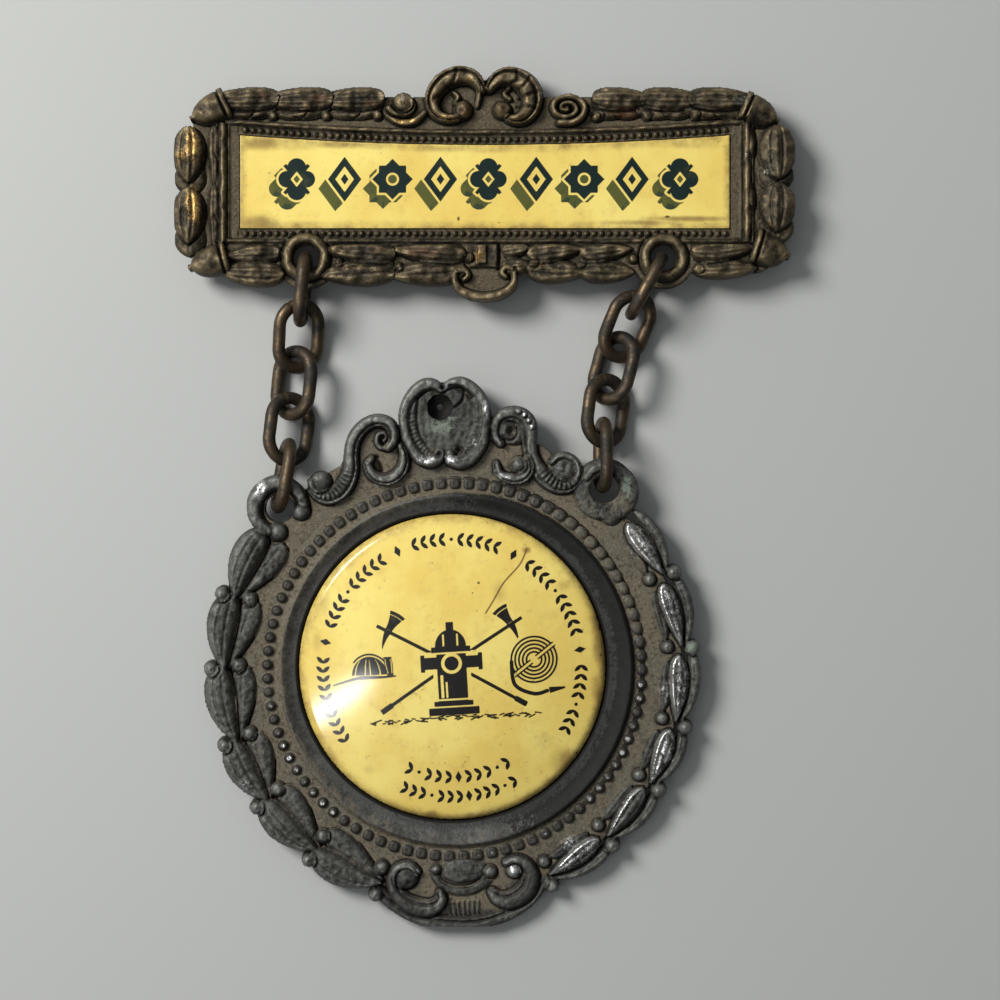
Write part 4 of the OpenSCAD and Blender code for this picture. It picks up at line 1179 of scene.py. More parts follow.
# %% Acorns at the corners
def acorn(px, py, degrees, length, width=3.3):
    """A nut lying along an angle from its cup's middle. Its half width is the root of
    1 - t^2.4, so its end is blunt, with a small nub. The cup's rim crosses behind it."""
    x, y = on_bar(px, py)
    where, u, v = straight(bar, x, y, degrees, length + 1.2)
    t = np.clip(u / length, 0, 1)
    half = width / 2 * np.sqrt(1 - t ** 2.4)
    half = np.maximum(half, 0.36 * (u < length + 0.3) * (u > 0.5 * length))
    arch = round_arch(np.abs(v) / np.maximum(half, 0.05), 2.2)
    inside = np.where(u < 0, -9.0, np.minimum(half - np.abs(v), length + 0.3 - u))
    nut = 1.2 + 1.75 * arch * np.sqrt(np.clip(1 - 0.55 * t ** 2, 0, 1)) - 0.25 * t
    bar.join(where, nut, inside, 0.05, 0.3)
    cup = np.minimum(width / 2 * 1.04 - np.abs(v), np.minimum(u + 0.62, -u - 0.02))
    swell = 1.25 + 1.65 * round_arch(np.abs(v) / (0.53 * width), 2.4)
    bar.join(where, swell - 0.25 * ((u + 0.3) / 0.3) ** 2, cup, 0.05, 0.0)
    bar.H[where] -= 0.6 * bell(u - 0.03, 0.1) * (np.abs(v) < 0.5 * width)


acorn(223.5, 104.5, 205, 3.3)
acorn(223.5, 257.5, 196, 3.3)
acorn(748.5, 107.5, -24, 3.2)
acorn(760.0, 246.5, -17, 3.0, 3.6)
tell("acorns", bar)

# %% [markdown]
# ## Crest, knob, spiral and cartouche
# These are the bar's free ornaments. Like the scrolls they are bands along rows of spots, and
# the spiral's rows come from a formula. Discs below them widen the plate, because an
# ornament can't stand where the casting has no back.

# %% Crest volutes
CREST_LEFT = [
    (483, 89, 0.5), (475, 78.5, 0.82), (463, 75, 0.98), (451, 77.5, 1.02), (441, 85, 0.98),
    (434.5, 95, 0.86), (433.5, 106, 0.7), (439, 115, 0.58), (449, 119, 0.5), (458.5, 118, 0.42),
]
CREST_RIGHT = [
    (491, 88, 0.5), (498.5, 79, 0.8), (509, 76, 1.0), (520, 79, 1.12), (529, 87, 1.18),
    (533, 97.5, 1.12), (531.5, 108.5, 0.98), (525.5, 116.5, 0.78), (517, 120, 0.58), (509, 118, 0.42),
]
for px, py, r in ((459, 98, 3.3), (513, 98, 3.3), (486, 104, 2.6)):
    disc(bar, *on_bar(px, py), r)
for rows, rim_side in ((CREST_LEFT, -1), (CREST_RIGHT, 1)):
    along_bar(band, rows, 1.15, 2.85, rim_side=rim_side, rim=0.3, moat=0.45)
for rows in ([(454, 92, 0.24), (459, 97, 0.28), (456, 103, 0.24)],
             [(478, 84, 0.22), (480, 95, 0.28), (478, 106, 0.24)],
             [(510, 88, 0.24), (505.5, 94, 0.26), (511, 99, 0.24)]):
    along_bar(band, rows, 1.3, 1.85, moat=0.25)
for rows in ([(513, 84, 0), (518, 81, 0), (518, 70, 0)], [(518, 91, 0), (525, 87, 0), (531, 78, 0)],
             [(520, 99, 0), (529, 96, 0), (540, 92, 0)], [(518, 107, 0), (528, 107, 0), (540, 110, 0)],
             [(436, 100, 0), (443, 94, 0), (448, 88, 0)], [(452, 86, 0), (456, 80, 0), (458, 70, 0)]):
    along_bar(groove, rows, 0.3, 0.15)
bar_ball(464, 110, 0.98, 1.3, moat=0.5)
bar_ball(503.5, 110, 0.94, 1.25, moat=0.5)
dent(bar, *on_bar(462, 112), 0.3, 0.25)
dent(bar, *on_bar(505.5, 108.5), 0.3, 0.25)
tell("crest", bar)


# %% A domed knob on the left, and a flat spiral on the right
def coil_path(px, py, wide, high, turns_n, start, half):
    """A spiral that closes in from an oval, as rows for a band."""
    x, y = on_bar(px, py)
    t = np.linspace(0, 1, 30)
    a = 2 * np.pi * turns_n * t + math.radians(start)
    r = 1 - 0.86 * t
    return np.stack([x + wide * r * np.cos(a), y + high * r * np.sin(a), half * (1 - 0.35 * t)], 1)


KNOB_CRADLE = [(389, 116, 0.24), (398, 121, 0.34), (408, 122.5, 0.38), (418, 120, 0.36),
               (426, 112, 0.28)]
along_bar(band, KNOB_CRADLE, 1.2, 2.1, moat=0.3)
band(bar, coil_path(404.5, 103.5, 1.62, 1.34, 1.0, 200, 0.32), 1.2, 2.15, moat=0.3)
bar_ball(404.5, 102.5, 1.08, 1.05, foot=1.35, moat=0.55)
band(bar, coil_path(567.5, 108.5, 2.1, 1.55, 2.1, 250, 0.36), 1.2, 2.45, moat=0.35)
bar_ball(567.5, 108.5, 0.42, 0.9, moat=0.3)
bar_ball(597, 117, 0.44, 0.6)
tell("knob and spiral", bar)

# %% Cartouche below the bar
disc(bar, *on_bar(476, 283), 1.75)
disc(bar, *on_bar(496, 283), 1.75)
disc(bar, *on_bar(486, 279), 2.0)
bar.F = np.maximum(bar.F, np.minimum(1.9 - np.abs(bar.X), 1.6 - np.abs(bar.Y + 8.9)))
CARTOUCHE_RIM = [(457, 273, 0.3), (456.5, 281, 0.4), (462, 289.5, 0.46), (473, 294.5, 0.5),
                 (486, 296, 0.5), (499, 294.5, 0.5), (510, 289, 0.46), (515.5, 280, 0.4),
                 (514.5, 271, 0.3)]
along_bar(band, CARTOUCHE_RIM, 1.1, 2.2, moat=0.3)
for rows in ([(459, 271, 0.24), (466, 269.5, 0.3), (469.5, 275, 0.3), (465, 279, 0.24)],
             [(513, 268, 0.24), (507, 266.5, 0.3), (503, 272, 0.3), (507, 276, 0.24)]):
    along_bar(band, rows, 1.2, 2.0, moat=0.25)
stand_x, stand_y = on_bar(485, 254)
pedestal = bar.near(stand_x, stand_y, 3.2)
bx, by = bar.X[pedestal] - stand_x, bar.Y[pedestal] - stand_y
bar.H[pedestal] += 0.5 * np.clip(np.minimum(1.55 - np.abs(bx), 1.4 - np.abs(by)) / 0.15, 0, 1)
bar.H[pedestal] += 0.35 * np.clip(np.minimum(0.5 - np.abs(bx + 0.2), 1.0 - np.abs(by)) / 0.12, 0, 1)
along_bar(groove, [(499.5, 240, 0), (500, 254, 0), (499, 268, 0)], 0.5, 0.13)
tell("cartouche", bar)

# %% [markdown]
# ## The picture frame
# A real frame like this is rolled or cast with small beads. An array of spheres would be
# heavy, so the beads are drawn from the distance to the nearest point of a pitch. Their line
# follows the slip's sagging upper edge.

# %% Picture frame: a flat strip, ridges and beads round the slip
away = slip_inside(bar.X, bar.Y, 0.0)
at_side = np.clip((np.abs(bar.X) - 25.2) / 0.1, 0, 1) * (np.abs(bar.Y) < SLIP_H / 2 + 1.1)
frame_zone = np.clip((away + 1.75) / 0.15, 0, 1)
bar.H = bar.H * (1 - frame_zone) + 1.32 * frame_zone
ridge(bar, np.abs(away + 1.32) + 9 * at_side, 0.3, 1.72)
for offset, half, top in ((1.15, 0.2, 1.5), (1.75, 0.44, 2.05), (2.35, 0.16, 1.6)):
    ridge(bar, np.abs(np.abs(bar.X) - 25.3 - offset) + 9 * (np.abs(bar.Y + 0.1) > 6.2), half, top)
STEP = 0.8
count = int(SLIP_L / STEP / 2)
k = np.round(np.clip(bar.X / STEP, -count, count))
line_up = SLIP_H / 2 + 0.56 - SLIP_SAG * (1 - (k / count) ** 2)
for line in (line_up, np.full(k.shape, -SLIP_H / 2 - 0.56)):
    d = np.hypot(bar.X - k * STEP, bar.Y - line)
    bar.H -= 0.2 * bell(bar.Y - line, 0.4) * (np.abs(bar.X) < 25.6)
    tip = 1.26 + 0.34 * round_arch(d / 0.33)
    bar.H = smooth_max(bar.H, np.where(d < 0.33, tip, -5), 0.06)
line = np.round(np.clip((bar.Y + 0.2) / STEP, -6, 6)) * STEP - 0.2
d = np.hypot(bar.X - 27.0, bar.Y - line)
tip = 1.5 + 0.4 * round_arch(d / 0.28)
bar.H = smooth_max(bar.H, np.where(d < 0.28, tip, -5), 0.05)
tell("picture frame", bar)

# %% Where the bar is brassy, brown, orange or tan
paint_all(bar, on_bar, {
    "brass": [
        (195, 146, 0.8, 2.0, 1.0), (184, 156, 0.6, 1.0, 0.6), (196, 203, 0.8, 2.2, 1.0),
        (200, 216, 0.4, 1.2, 0.7), (448, 118, 1.0, 0.3, 0.7), (470, 82, 0.9, 0.6, 0.5),
        (406, 121, 1.4, 0.35, 0.8), (480, 256, 0.7, 1.0, 0.6), (396, 270, 2.2, 0.6, 0.35),
        (540, 264, 1.2, 0.6, 0.4), (355, 268, 2.0, 0.6, 0.35), (338, 256, 0.8, 0.8, 0.3),
    ],
    "rust": [
        (625, 114, 1.8, 0.7, 1.0), (263, 97, 1.5, 0.8, 0.6), (320, 100, 1.6, 0.8, 0.6),
        (372, 104, 1.4, 0.7, 0.5), (424, 253, 2.4, 0.7, 0.7), (375, 250, 2.0, 0.8, 0.5),
        (465, 110, 0.9, 0.9, 0.7), (504, 110, 0.8, 0.8, 0.6), (660, 102, 1.6, 0.7, 0.4),
    ],
    "tan": [
        (238, 183, 0.6, 5.0, 0.7), (733, 190, 1.0, 5.0, 0.5), (478, 96, 2.2, 2.0, 0.7),
        (486, 262, 2.2, 2.0, 0.8), (486, 285, 2.4, 1.2, 0.8), (340, 119, 6.0, 0.8, 0.5),
        (440, 118, 3.0, 1.2, 0.5), (350, 240, 8.0, 0.8, 0.4), (590, 270, 6.0, 1.6, 0.35),
        (620, 121, 8.0, 0.6, 0.4), (250, 118, 2.4, 0.7, 0.4), (300, 280, 1.6, 1.2, 0.5),
        (648, 270, 1.2, 1.4, 0.6),
    ],
    "green": [
        (740, 100, 1.4, 1.0, 0.5), (770, 170, 1.4, 4.0, 0.35),
    ],
    "wear_and_glint": [
        (747, 155, 0.25, 0.25, 0.9), (750, 100, 0.25, 0.7, 0.6), (766, 172, 0.3, 0.5, 0.7),
        # The spot on the knob's dome is a painted glint.
        (404, 98, 0.2, 0.5, 1.0),
    ],
})

# %% Eyelets, and the bar as a solid
for side, rise in ((-1, 0.95), (1, 0.7)):
    x = side * EYELET_X
    disc(bar, x, EYELET_Y, EYELET_HOLE + 1.9)
    d = np.hypot(bar.X - x, bar.Y - EYELET_Y)
    flat = np.clip((EYELET_HOLE + 1.25 - d) / 0.3, 0, 1)
    bar.H = bar.H * (1 - flat) + 1.25 * flat
    bar.H -= 0.3 * bell(d - EYELET_HOLE - 1.28, 0.13)
    ringed = np.clip(1 - ((d - EYELET_HOLE - 0.6) / 0.58) ** 2, 0, 1)
    bar.H = smooth_max(bar.H, np.where(ringed > 0, 1.2 + rise * np.sqrt(ringed), -5), 0.08)
    bar.F = np.minimum(bar.F, d - EYELET_HOLE)
bar.H = np.minimum(bar.H, 3.3)
crumble(bar, 9, 0.085, 0.055)
finish_field(bar)
bar.F = np.minimum(bar.F, 11.95 - bar.Y)
pit = slip_inside(bar.X, bar.Y, SLIP_GAP)
bar.F = np.minimum(bar.F, -pit)
bar.F = np.minimum(bar.F, 32.04 - np.abs(bar.X))
bar_piece = closed("bar_casting", bar, place_on_bar, pit=(pit + 1.0, 0.9))

# %% [markdown]
# ## The printed slip and the printed button
# Both are cream celluloid over a printed paper. The print is worked out as a distance to the
# nearest inked edge at each vertex, so the ink keeps a clean edge at any size. The devices
# are plain ones: rosettes and lozenges with a block shadow on the slip, and on the button a
# ring of leaf marks round a hydrant, crossed axes, a helmet and a coiled hose.


# %% Distances to inked shapes
def stroke(x, y, rows, width):
    """Distance to a line through points, less half its width."""
    path = np.array([(p[0], p[1], width / 2) for p in rows], float)
    d, half, _, _ = to_path(x, y, path)
    return d - half


def slab(x, y, cx, cy, half_x, half_y, turn_deg=0.0):
    """Distance to a turned rectangle, negative inside it."""
    c, s = cos_sin(turn_deg)
    u = np.abs((x - cx) * c + (y - cy) * s) - half_x
    v = np.abs((y - cy) * c - (x - cx) * s) - half_y
    return np.hypot(np.maximum(u, 0), np.maximum(v, 0)) + np.minimum(np.maximum(u, v), 0)


def spot(x, y, cx, cy, radius):
    """Distance to a round spot, negative inside it."""
    return np.hypot(x - cx, y - cy) - radius


def lozenge(x, y, cx, cy, half_x, half_y):
    """Distance to a diamond, negative inside it."""
    size = math.hypot(half_x, half_y)
    return (np.abs(x - cx) * half_y + np.abs(y - cy) * half_x - half_x * half_y) / size


def slender(u, v, length, width):
    """Distance to a pointed leaf along u: its half width is a parabola."""
    half = width / 2 * np.clip(1 - (2 * u / length) ** 2, 0, 1)
    return np.where(np.abs(u) < length / 2, np.abs(v) - half, np.hypot(np.abs(u) - length / 2, v))


def all_of(*shapes):
    """The union of shapes: the least of their distances."""
    made = shapes[0]
    for shape in shapes[1:]:
        made = np.minimum(made, shape)
    return made


# %% The slip's row of devices, each with a block shadow down and to the left
slip = Relief((-25.6, 25.6), (-5.1, 5.1), 0.085, 0.46)
slip.F = slip_inside(slip.X, slip.Y, 0.0)
slip.H += 0.03 * np.cos(slip.X / 7.0) + 0.01 * np.sin(slip.X * 1.3 + slip.Y)
DEVICE_PITCH, DEVICES_HALF, DEVICE_Y = 4.95, 4, 0.25


def rosette(x, y):
    """Four round petals and four small points between them, round an open lozenge."""
    petals = all_of(spot(x, y, 0, 1.2, 0.98), spot(x, y, 0, -1.2, 0.98),
                    spot(x, y, 1.05, 0, 0.86), spot(x, y, -1.05, 0, 0.86))
    points = all_of(slab(x, y, 0, 0, 1.95, 0.2, 50), slab(x, y, 0, 0, 1.95, 0.2, -50))
    return np.maximum(all_of(petals, points), -lozenge(x, y, 0, 0, 0.62, 0.78))


def diamond(x, y):
    """A tall lozenge with an open heart and a small lozenge in it."""
    frame_of_it = np.maximum(lozenge(x, y, 0, 0, 1.75, 2.35), -lozenge(x, y, 0, 0, 0.95, 1.3))
    return all_of(frame_of_it, lozenge(x, y, 0, 0, 0.42, 0.6))


def star(x, y):
    """An eight-pointed star of two squares, with a round heart."""
    level_one = np.maximum(np.abs(x) - 1.42, np.abs(y) - 1.42)
    turned_one = (np.abs(x) + np.abs(y)) / math.sqrt(2) - 1.5
    return np.maximum(all_of(level_one, turned_one), -spot(x, y, 0, 0, 0.66))


# %% The slip's ink, its shade and its stains
DEVICES = (rosette, diamond, star, diamond)
ink = np.full(slip.X.shape, 9.0)
shade = np.full(slip.X.shape, 9.0)
for k in range(-DEVICES_HALF, DEVICES_HALF + 1):
    draw = DEVICES[(k + DEVICES_HALF) % 4]
    u, v = slip.X - k * DEVICE_PITCH - 0.35, slip.Y - DEVICE_Y
    ink = np.minimum(ink, draw(u, v))
    for lag in np.arange(0.35, 1.02, 0.07):
        shade = np.minimum(shade, draw(u + lag, v + lag))
slip.marks["ink"] = ink
slip.marks["shade"] = np.maximum(shade, 0.2 - ink)
slope_y, slope_x = np.gradient(shade, slip.cell)
slip.marks["under"] = np.clip((np.abs(slope_y) - np.abs(slope_x)) * 2 + 0.3, 0, 1)
slip.marks["edge"] = slip.F.copy()
paint_all(slip, on_bar, {
    "stain": [
        (262, 143, 2.6, 0.8, 0.9), (300, 146, 3.0, 0.6, 0.5), (258, 222, 2.4, 0.9, 0.9),
        (300, 225, 4.0, 0.6, 0.6), (690, 218, 5.0, 0.35, 0.9), (640, 222, 5.0, 0.35, 0.7),
        (560, 148, 5.0, 0.7, 0.35), (620, 146, 4.0, 0.6, 0.3), (480, 227, 6.0, 0.35, 0.5),
        (345, 144, 4.0, 0.5, 0.7), (440, 148, 4.0, 0.45, 0.6), (500, 150, 3.0, 0.4, 0.45),
        (690, 145, 4.0, 0.5, 0.5), (728, 165, 0.5, 3.0, 0.4), (380, 146, 3.0, 0.5, 0.4),
        (670, 205, 1.8, 0.6, 0.3),
    ],
    "speck": [
        (459.5, 218, 0.16, 0.26, 1.0), (668, 216, 0.3, 0.14, 1.0), (500, 222, 0.2, 0.1, 0.7),
    ],
})
inside = np.clip(slip.F, 0, 0.15) / 0.15
slip.H -= 0.1 * (1 - np.sqrt(1 - (1 - inside) ** 2))
slip_piece = closed(
    "printed_slip", slip, lambda p: place_on_bar(p + np.array([0, 0, 1.0])), soften=0.02
)

# %% [markdown]
# ## The button
# A celluloid button is a shallow dome with a tight shoulder, where the skin turns under the
# metal rim. A sphere's cap with a rounded shoulder gives that, and the fine grid is there
# for the print, not for the dome.

# %% The button's dome
BUTTON_R, BUTTON_EDGE, BUTTON_RISE, BUTTON_Z = 15.88, 1.1, 1.9, 0.62
button = Relief((-16.1, 16.1), (-16.1, 16.1), 0.1, 0.0)
r = np.hypot(button.X, button.Y)
dome_r = (15.9 ** 2 + BUTTON_RISE ** 2) / (2 * BUTTON_RISE)
button.H = BUTTON_EDGE + BUTTON_RISE - dome_r + np.sqrt(dome_r ** 2 - np.minimum(r, 15.9) ** 2)
shoulder = np.clip((r - 15.1) / (BUTTON_R - 15.1), 0, 1)
button.H -= 0.6 * (1 - np.sqrt(1 - shoulder ** 2 * 0.999))
button.F = BUTTON_R - r

# %% The button's print: an outer band of leaf marks
x, y = button.X, button.Y
BAND_R, LOW_BAND_R = 13.35, 11.25


def leaf_marks(radius, start, stop, pitch_deg, order):
    """Marks along an arc from the top: a pair of slanted leaves on a short stem, a small
    lozenge, or a dot, in the order given. A blank leaves room, as between words."""
    made = np.full(x.shape, 9.0)
    count = int(abs(stop - start) / pitch_deg)
    for n in range(count):
        a = math.radians(start + (stop - start) * (n + 0.5) / count)
        u = x * math.cos(a) - y * math.sin(a)
        v = x * math.sin(a) + y * math.cos(a) - radius
        away = np.where(v > -radius, 0.0, 9.0)
        kind = order[n % len(order)]
        if kind == "leaves":
            c, s = cos_sin(48)
            high, low = v - 0.33, v + 0.33
            one = all_of(slender(u * c + high * s, high * c - u * s, 1.05, 0.46),
                         slender(u * c - low * s, low * c + u * s, 1.05, 0.46))
        elif kind == "lozenge":
            one = lozenge(u, v, 0, 0, 0.36, 0.66)
        elif kind == "dot":
            one = spot(u, v, 0, 0, 0.2)
        else:
            continue
        made = np.minimum(made, one + away)
    return made


LONG = ("leaves",) * 4 + ("dot",) + ("leaves",) * 5 + ("blank", "lozenge", "blank")
SHORT = ("leaves", "leaves", "leaves", "dot", "leaves", "leaves", "leaves", "lozenge")
ink = leaf_marks(BAND_R, -122, 124, 4.1, LONG)
ink = np.minimum(ink, leaf_marks(BAND_R, 207, 153, 4.1, SHORT))
ink = np.minimum(ink, leaf_marks(LOW_BAND_R, 209, 151, 5.0, SHORT[2:] + SHORT[:2]))


# %% [markdown]
# ## The drawing in the middle
# Each tool is a union of simple distances: slabs, rings and parabolas. An SVG or a font could
# draw them too, but a distance keeps its edge sharp when it is read on the vertices, and one
# shape can be cut clear of the next by comparing two distances.

# %% The tools of the trade
def turned(cx, cy, degrees):
    """Coordinates along and across a line through a spot of the button."""
    c, s = cos_sin(degrees)
    return (x - cx) * c + (y - cy) * s, (y - cy) * c - (x - cx) * s


def axe(cx, cy, degrees, length, flip):
    """A fire axe: a long handle, a blade that widens and a pointed pick behind it."""
    u, v = turned(cx, cy, degrees)
    v = v * flip
    bow = v - 0.18 * np.cos(np.clip(u / length * 3, -1.5, 1.5))
    handle = slab(u, bow, 0, 0, length / 2, 0.19)
    grip = slab(u, bow, -length / 2 + 0.7, 0, 0.7, 0.3)
    head = length / 2 - 1.3
    w = u - head
    blade = np.maximum(np.abs(w + 0.06 * v) - 0.36 - 0.13 * np.clip(v, 0, 3) ** 2, -v - 0.1)
    blade = np.maximum(blade, v - 2.2 + 0.16 * w ** 2)
    bevel = np.abs(v - 1.78 + 0.16 * w ** 2) - 0.035
    taper = 0.36 * np.clip(1 + v / 2.1, 0, 1)
    pick = np.maximum(np.abs(w + 0.1 * v ** 2) - taper, np.abs(v + 1.05) - 1.05)
    eye = np.maximum(np.abs(w) - 0.2, np.abs(v) - 0.26)
    blade = np.maximum(np.maximum(blade, -bevel), -np.maximum(eye, 0.08 - np.abs(w)))
    return all_of(handle, grip, blade, pick)


# %% A wound hose
def coil(cx, cy, radius, rings):
    """A wound hose: rings of one width inside each other, two straps, a tail and a nozzle."""
    d = np.hypot(x - cx, y - cy)
    step = radius / rings
    k = np.clip(np.round(d / step), 2, rings)
    made = np.abs(d - k * step) - step * 0.3
    u, v = turned(cx, cy, 35)
    straps = np.maximum(np.abs(np.abs(v) - 0.2) - 0.09, np.abs(np.abs(u) - 0.62 * radius) - 0.5 * radius)
    made = np.maximum(made, -np.maximum(np.abs(v) - 0.11, 0.2 * radius - np.abs(u)))
    tail = stroke(x, y, smooth_path([(cx - radius, cy - 0.1, 0), (cx - radius * 0.9, cy - radius * 1.05, 0),
                                     (cx - radius * 0.1, cy - radius * 1.5, 0),
                                     (cx + radius * 0.5, cy - radius * 1.42, 0)]), 0.42)
    u, v = turned(cx + radius * 0.95, cy - radius * 1.36, 6)
    nozzle = np.maximum(np.abs(v) - 0.34 + 0.14 * (u + 0.8), np.abs(u) - 0.85)
    return all_of(made, straps, tail, nozzle)


# %% A hydrant
def hydrant(cx, cy, size):
    """A hydrant: a barrel on a foot, with a ribbed cap, a top nut and three outlets."""
    u, v = (x - cx) / size, (y - cy) / size
    made = all_of(
        slab(u, v, 0, -1.0, 0.58, 0.09), slab(u, v, 0, -0.82, 0.45, 0.06),
        slab(u, v, 0, -0.2, 0.34, 0.6), slab(u, v, 0, 0.42, 0.45, 0.07),
        np.maximum(np.hypot(u / 0.36, (v - 0.48) / 0.4) * 0.36 - 0.36, 0.48 - v),
        slab(u, v, 0, 0.95, 0.09, 0.1), slab(u, v, 0.48, 0.12, 0.16, 0.14),
        slab(u, v, -0.48, 0.12, 0.16, 0.14), slab(u, v, 0.66, 0.12, 0.05, 0.2),
        slab(u, v, -0.66, 0.12, 0.05, 0.2),
    )
    cap_ribs = np.maximum(np.abs(np.abs(u) - 0.16) - 0.018, np.abs(v - 0.64) - 0.13)
    cream_lines = all_of(
        np.abs(np.hypot(u, v - 0.1) - 0.2) - 0.035, slab(u, v, -0.24, -0.42, 0.03, 0.26),
        slab(u, v, -0.14, -0.5, 0.02, 0.18), slab(u, v, 0, 0.34, 0.4, 0.018),
        slab(u, v, 0, -0.73, 0.4, 0.018), cap_ribs,
    )
    return np.maximum(made, -cream_lines) * size


# %% A helmet
def helmet(cx, cy, size):
    """A leather helmet from the side: a ribbed dome, a long back brim and a front shield."""
    u, v = (x - cx) / size, (y - cy) / size
    dome = np.maximum(np.hypot(u / 1.0, v / 1.08) - 1, 0.04 - v)
    panel = u / np.sqrt(np.clip(1 - (v / 1.12) ** 2, 0.05, 1))
    seams = np.abs(np.abs(np.abs(panel + 0.1) - 0.42) - 0.28) - 0.028
    dome = np.maximum(dome, -np.maximum(seams, v - 0.92))
    drop = -0.1 - 0.2 * np.clip(-u - 0.5, 0, 2) ** 1.3 + 0.05 * np.clip(u - 0.9, 0, 1)
    brim = np.abs(v - drop) - 0.11 + 0.035 * np.abs(u + 0.3)
    brim = np.maximum(brim, np.maximum(u - 1.5, -2.1 - u))
    comb = np.maximum(np.abs(np.hypot(u / 1.12, v / 1.2) - 1) - 0.05, 0.75 - v)
    s, t = (u - 1.1) + 0.12 * (v - 0.5), v - 0.5
    outline = np.abs(s) - 0.24 + 0.1 * np.clip(-t, 0, 1)
    shield = np.maximum(outline, np.abs(t) - 0.52)
    shield = np.maximum(shield, -np.maximum(np.abs(outline + 0.09) - 0.02, np.abs(t) - 0.4))
    return all_of(dome, brim, comb, shield) * size


# %% The ground
def tufts(level, half_span, count):
    """Grass and stones under the tools: short strokes whose tilt and size go up and down."""
    made = np.full(x.shape, 9.0)
    for n in range(count):
        cx = -half_span + 2 * half_span * (n + 0.5) / count + 0.3 * math.sin(5.1 * n)
        cy = level - 0.35 * (0.5 + 0.5 * math.sin(2.3 * n)) - 0.25 * abs(cx) / half_span
        half, tilt = 0.36 + 0.16 * math.sin(3.7 * n), 24 * math.sin(4.3 * n)
        made = np.minimum(made, slab(x, y, cx, cy, half, 0.09, tilt))
    return made


# %% The whole drawing
axes_ink = all_of(axe(0.0, 0.4, 31, 17.5, 1), axe(0.0, 0.4, 149, 17.5, -1))
front_ink = hydrant(0.0, 0.2, 4.5)
body = all_of(slab(x, y, 0, 0.2, 1.9, 4.4), slab(x, y, 0, 0.75, 3.4, 1.1))
drawing = np.minimum(np.maximum(axes_ink, 0.02 - np.minimum(front_ink, body)), front_ink)
side_ink = all_of(helmet(-8.5, -0.2, 1.85), coil(8.5, 0.5, 2.35, 6))
drawing = np.minimum(np.maximum(drawing, 0.3 - side_ink), side_ink)
ink = all_of(ink, drawing, np.maximum(tufts(-4.75, 8.6, 52), 0.15 - side_ink))
button.marks["ink"] = ink
print(f"inked: {(ink < 0).mean():.1%} of the button's grid")

# %% [markdown]
# ## The button's age
# The skin is cracked near the top right, stained at the rim and specked. The crack is the
# distance to a thin line, and the stains are the same soft ovals as on the metal.

# %% Age of the button: a crack, stains at the rim, a dark patch at the left
CRACK = [(527, 549), (520, 564), (504, 582), (494, 599), (486, 612)]
crack_path = smooth_path([(*on_medal(px, py), 0.0) for px, py in CRACK])
button.marks["crack"] = stroke(x, y, crack_path, 0.05)
button.marks["edge"] = button.F.copy()
paint_all(button, on_medal, {
    "stain": [
        (600, 640, 0.9, 3.6, 1.0), (598, 690, 0.8, 2.6, 0.7), (566, 762, 1.8, 1.6, 0.8),
        (556, 785, 1.6, 1.0, 0.7), (432, 816, 0.9, 0.6, 0.8), (470, 817, 0.6, 0.5, 0.7),
        (322, 600, 1.2, 1.8, 0.6), (318, 640, 0.8, 1.6, 0.5), (350, 560, 1.0, 1.6, 0.5),
        (470, 545, 1.6, 0.8, 0.35), (500, 590, 1.0, 1.6, 0.5), (385, 570, 1.4, 0.8, 0.3),
        (425, 590, 1.2, 0.8, 0.3), (565, 585, 1.0, 0.8, 0.5), (540, 740, 2.0, 1.2, 0.3),
        (370, 770, 1.2, 0.7, 0.4), (520, 530, 1.8, 0.5, 0.4), (405, 740, 1.6, 0.8, 0.2),
        (527, 550, 0.5, 0.4, 0.9),
    ],
    "speck": [
        (601, 628, 0.3, 0.5, 0.9), (598, 618, 0.22, 0.3, 0.8), (479, 582, 0.2, 0.2, 0.8),
        (473, 592, 0.16, 0.14, 0.7), (577, 754, 0.2, 0.2, 0.8), (466, 742, 0.1, 0.2, 0.6),
        (601, 655, 0.16, 0.3, 0.7), (589, 600, 0.14, 0.2, 0.6), (484, 534, 0.3, 0.1, 0.5),
    ],
})
button_piece = closed(
    "printed_button", button, lambda p: place_on_medal(p + np.array([0, 0, BUTTON_Z])), soften=0.05
)

# %% [markdown]
# ## The chain links
# Each link is bent from round wire. Its place is read off the CAD node: the middle of its
# surface is the link's middle, and the three directions of spread are its length, width and
# thickness. The wire is then swept round that oval, a little uneven, as bent wire is.

# %% Where a link lies
WIRE_R, LINK_SIDE, LINK_STRAIGHT = 0.7, 2.2, 1.1


def frame_of(node):
    """Middle and axes of a CAD node from its triangles, weighted by their area."""
    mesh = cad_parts[node].data
    co = np.empty(len(mesh.vertices) * 3)
    mesh.vertices.foreach_get("co", co)
    mesh.calc_loop_triangles()
    ids = np.empty(len(mesh.loop_triangles) * 3, int)
    mesh.loop_triangles.foreach_get("vertices", ids)
    corners = (co.reshape(-1, 3) / MM)[ids.reshape(-1, 3)]
    two_sides = corners[:, 1:] - corners[:, :1]
    area = np.linalg.norm(np.cross(two_sides[:, 0], two_sides[:, 1]), axis=1)
    weight = area / area.sum()
    middles = corners.mean(1)
    centre = (middles * weight[:, None]).sum(0)
    away = middles - centre
    spread = (away * weight[:, None]).T @ away
    axes = np.linalg.eigh(spread)[1].T[::-1].copy()
    axes[2] = np.cross(axes[0], axes[1])
    return centre, axes


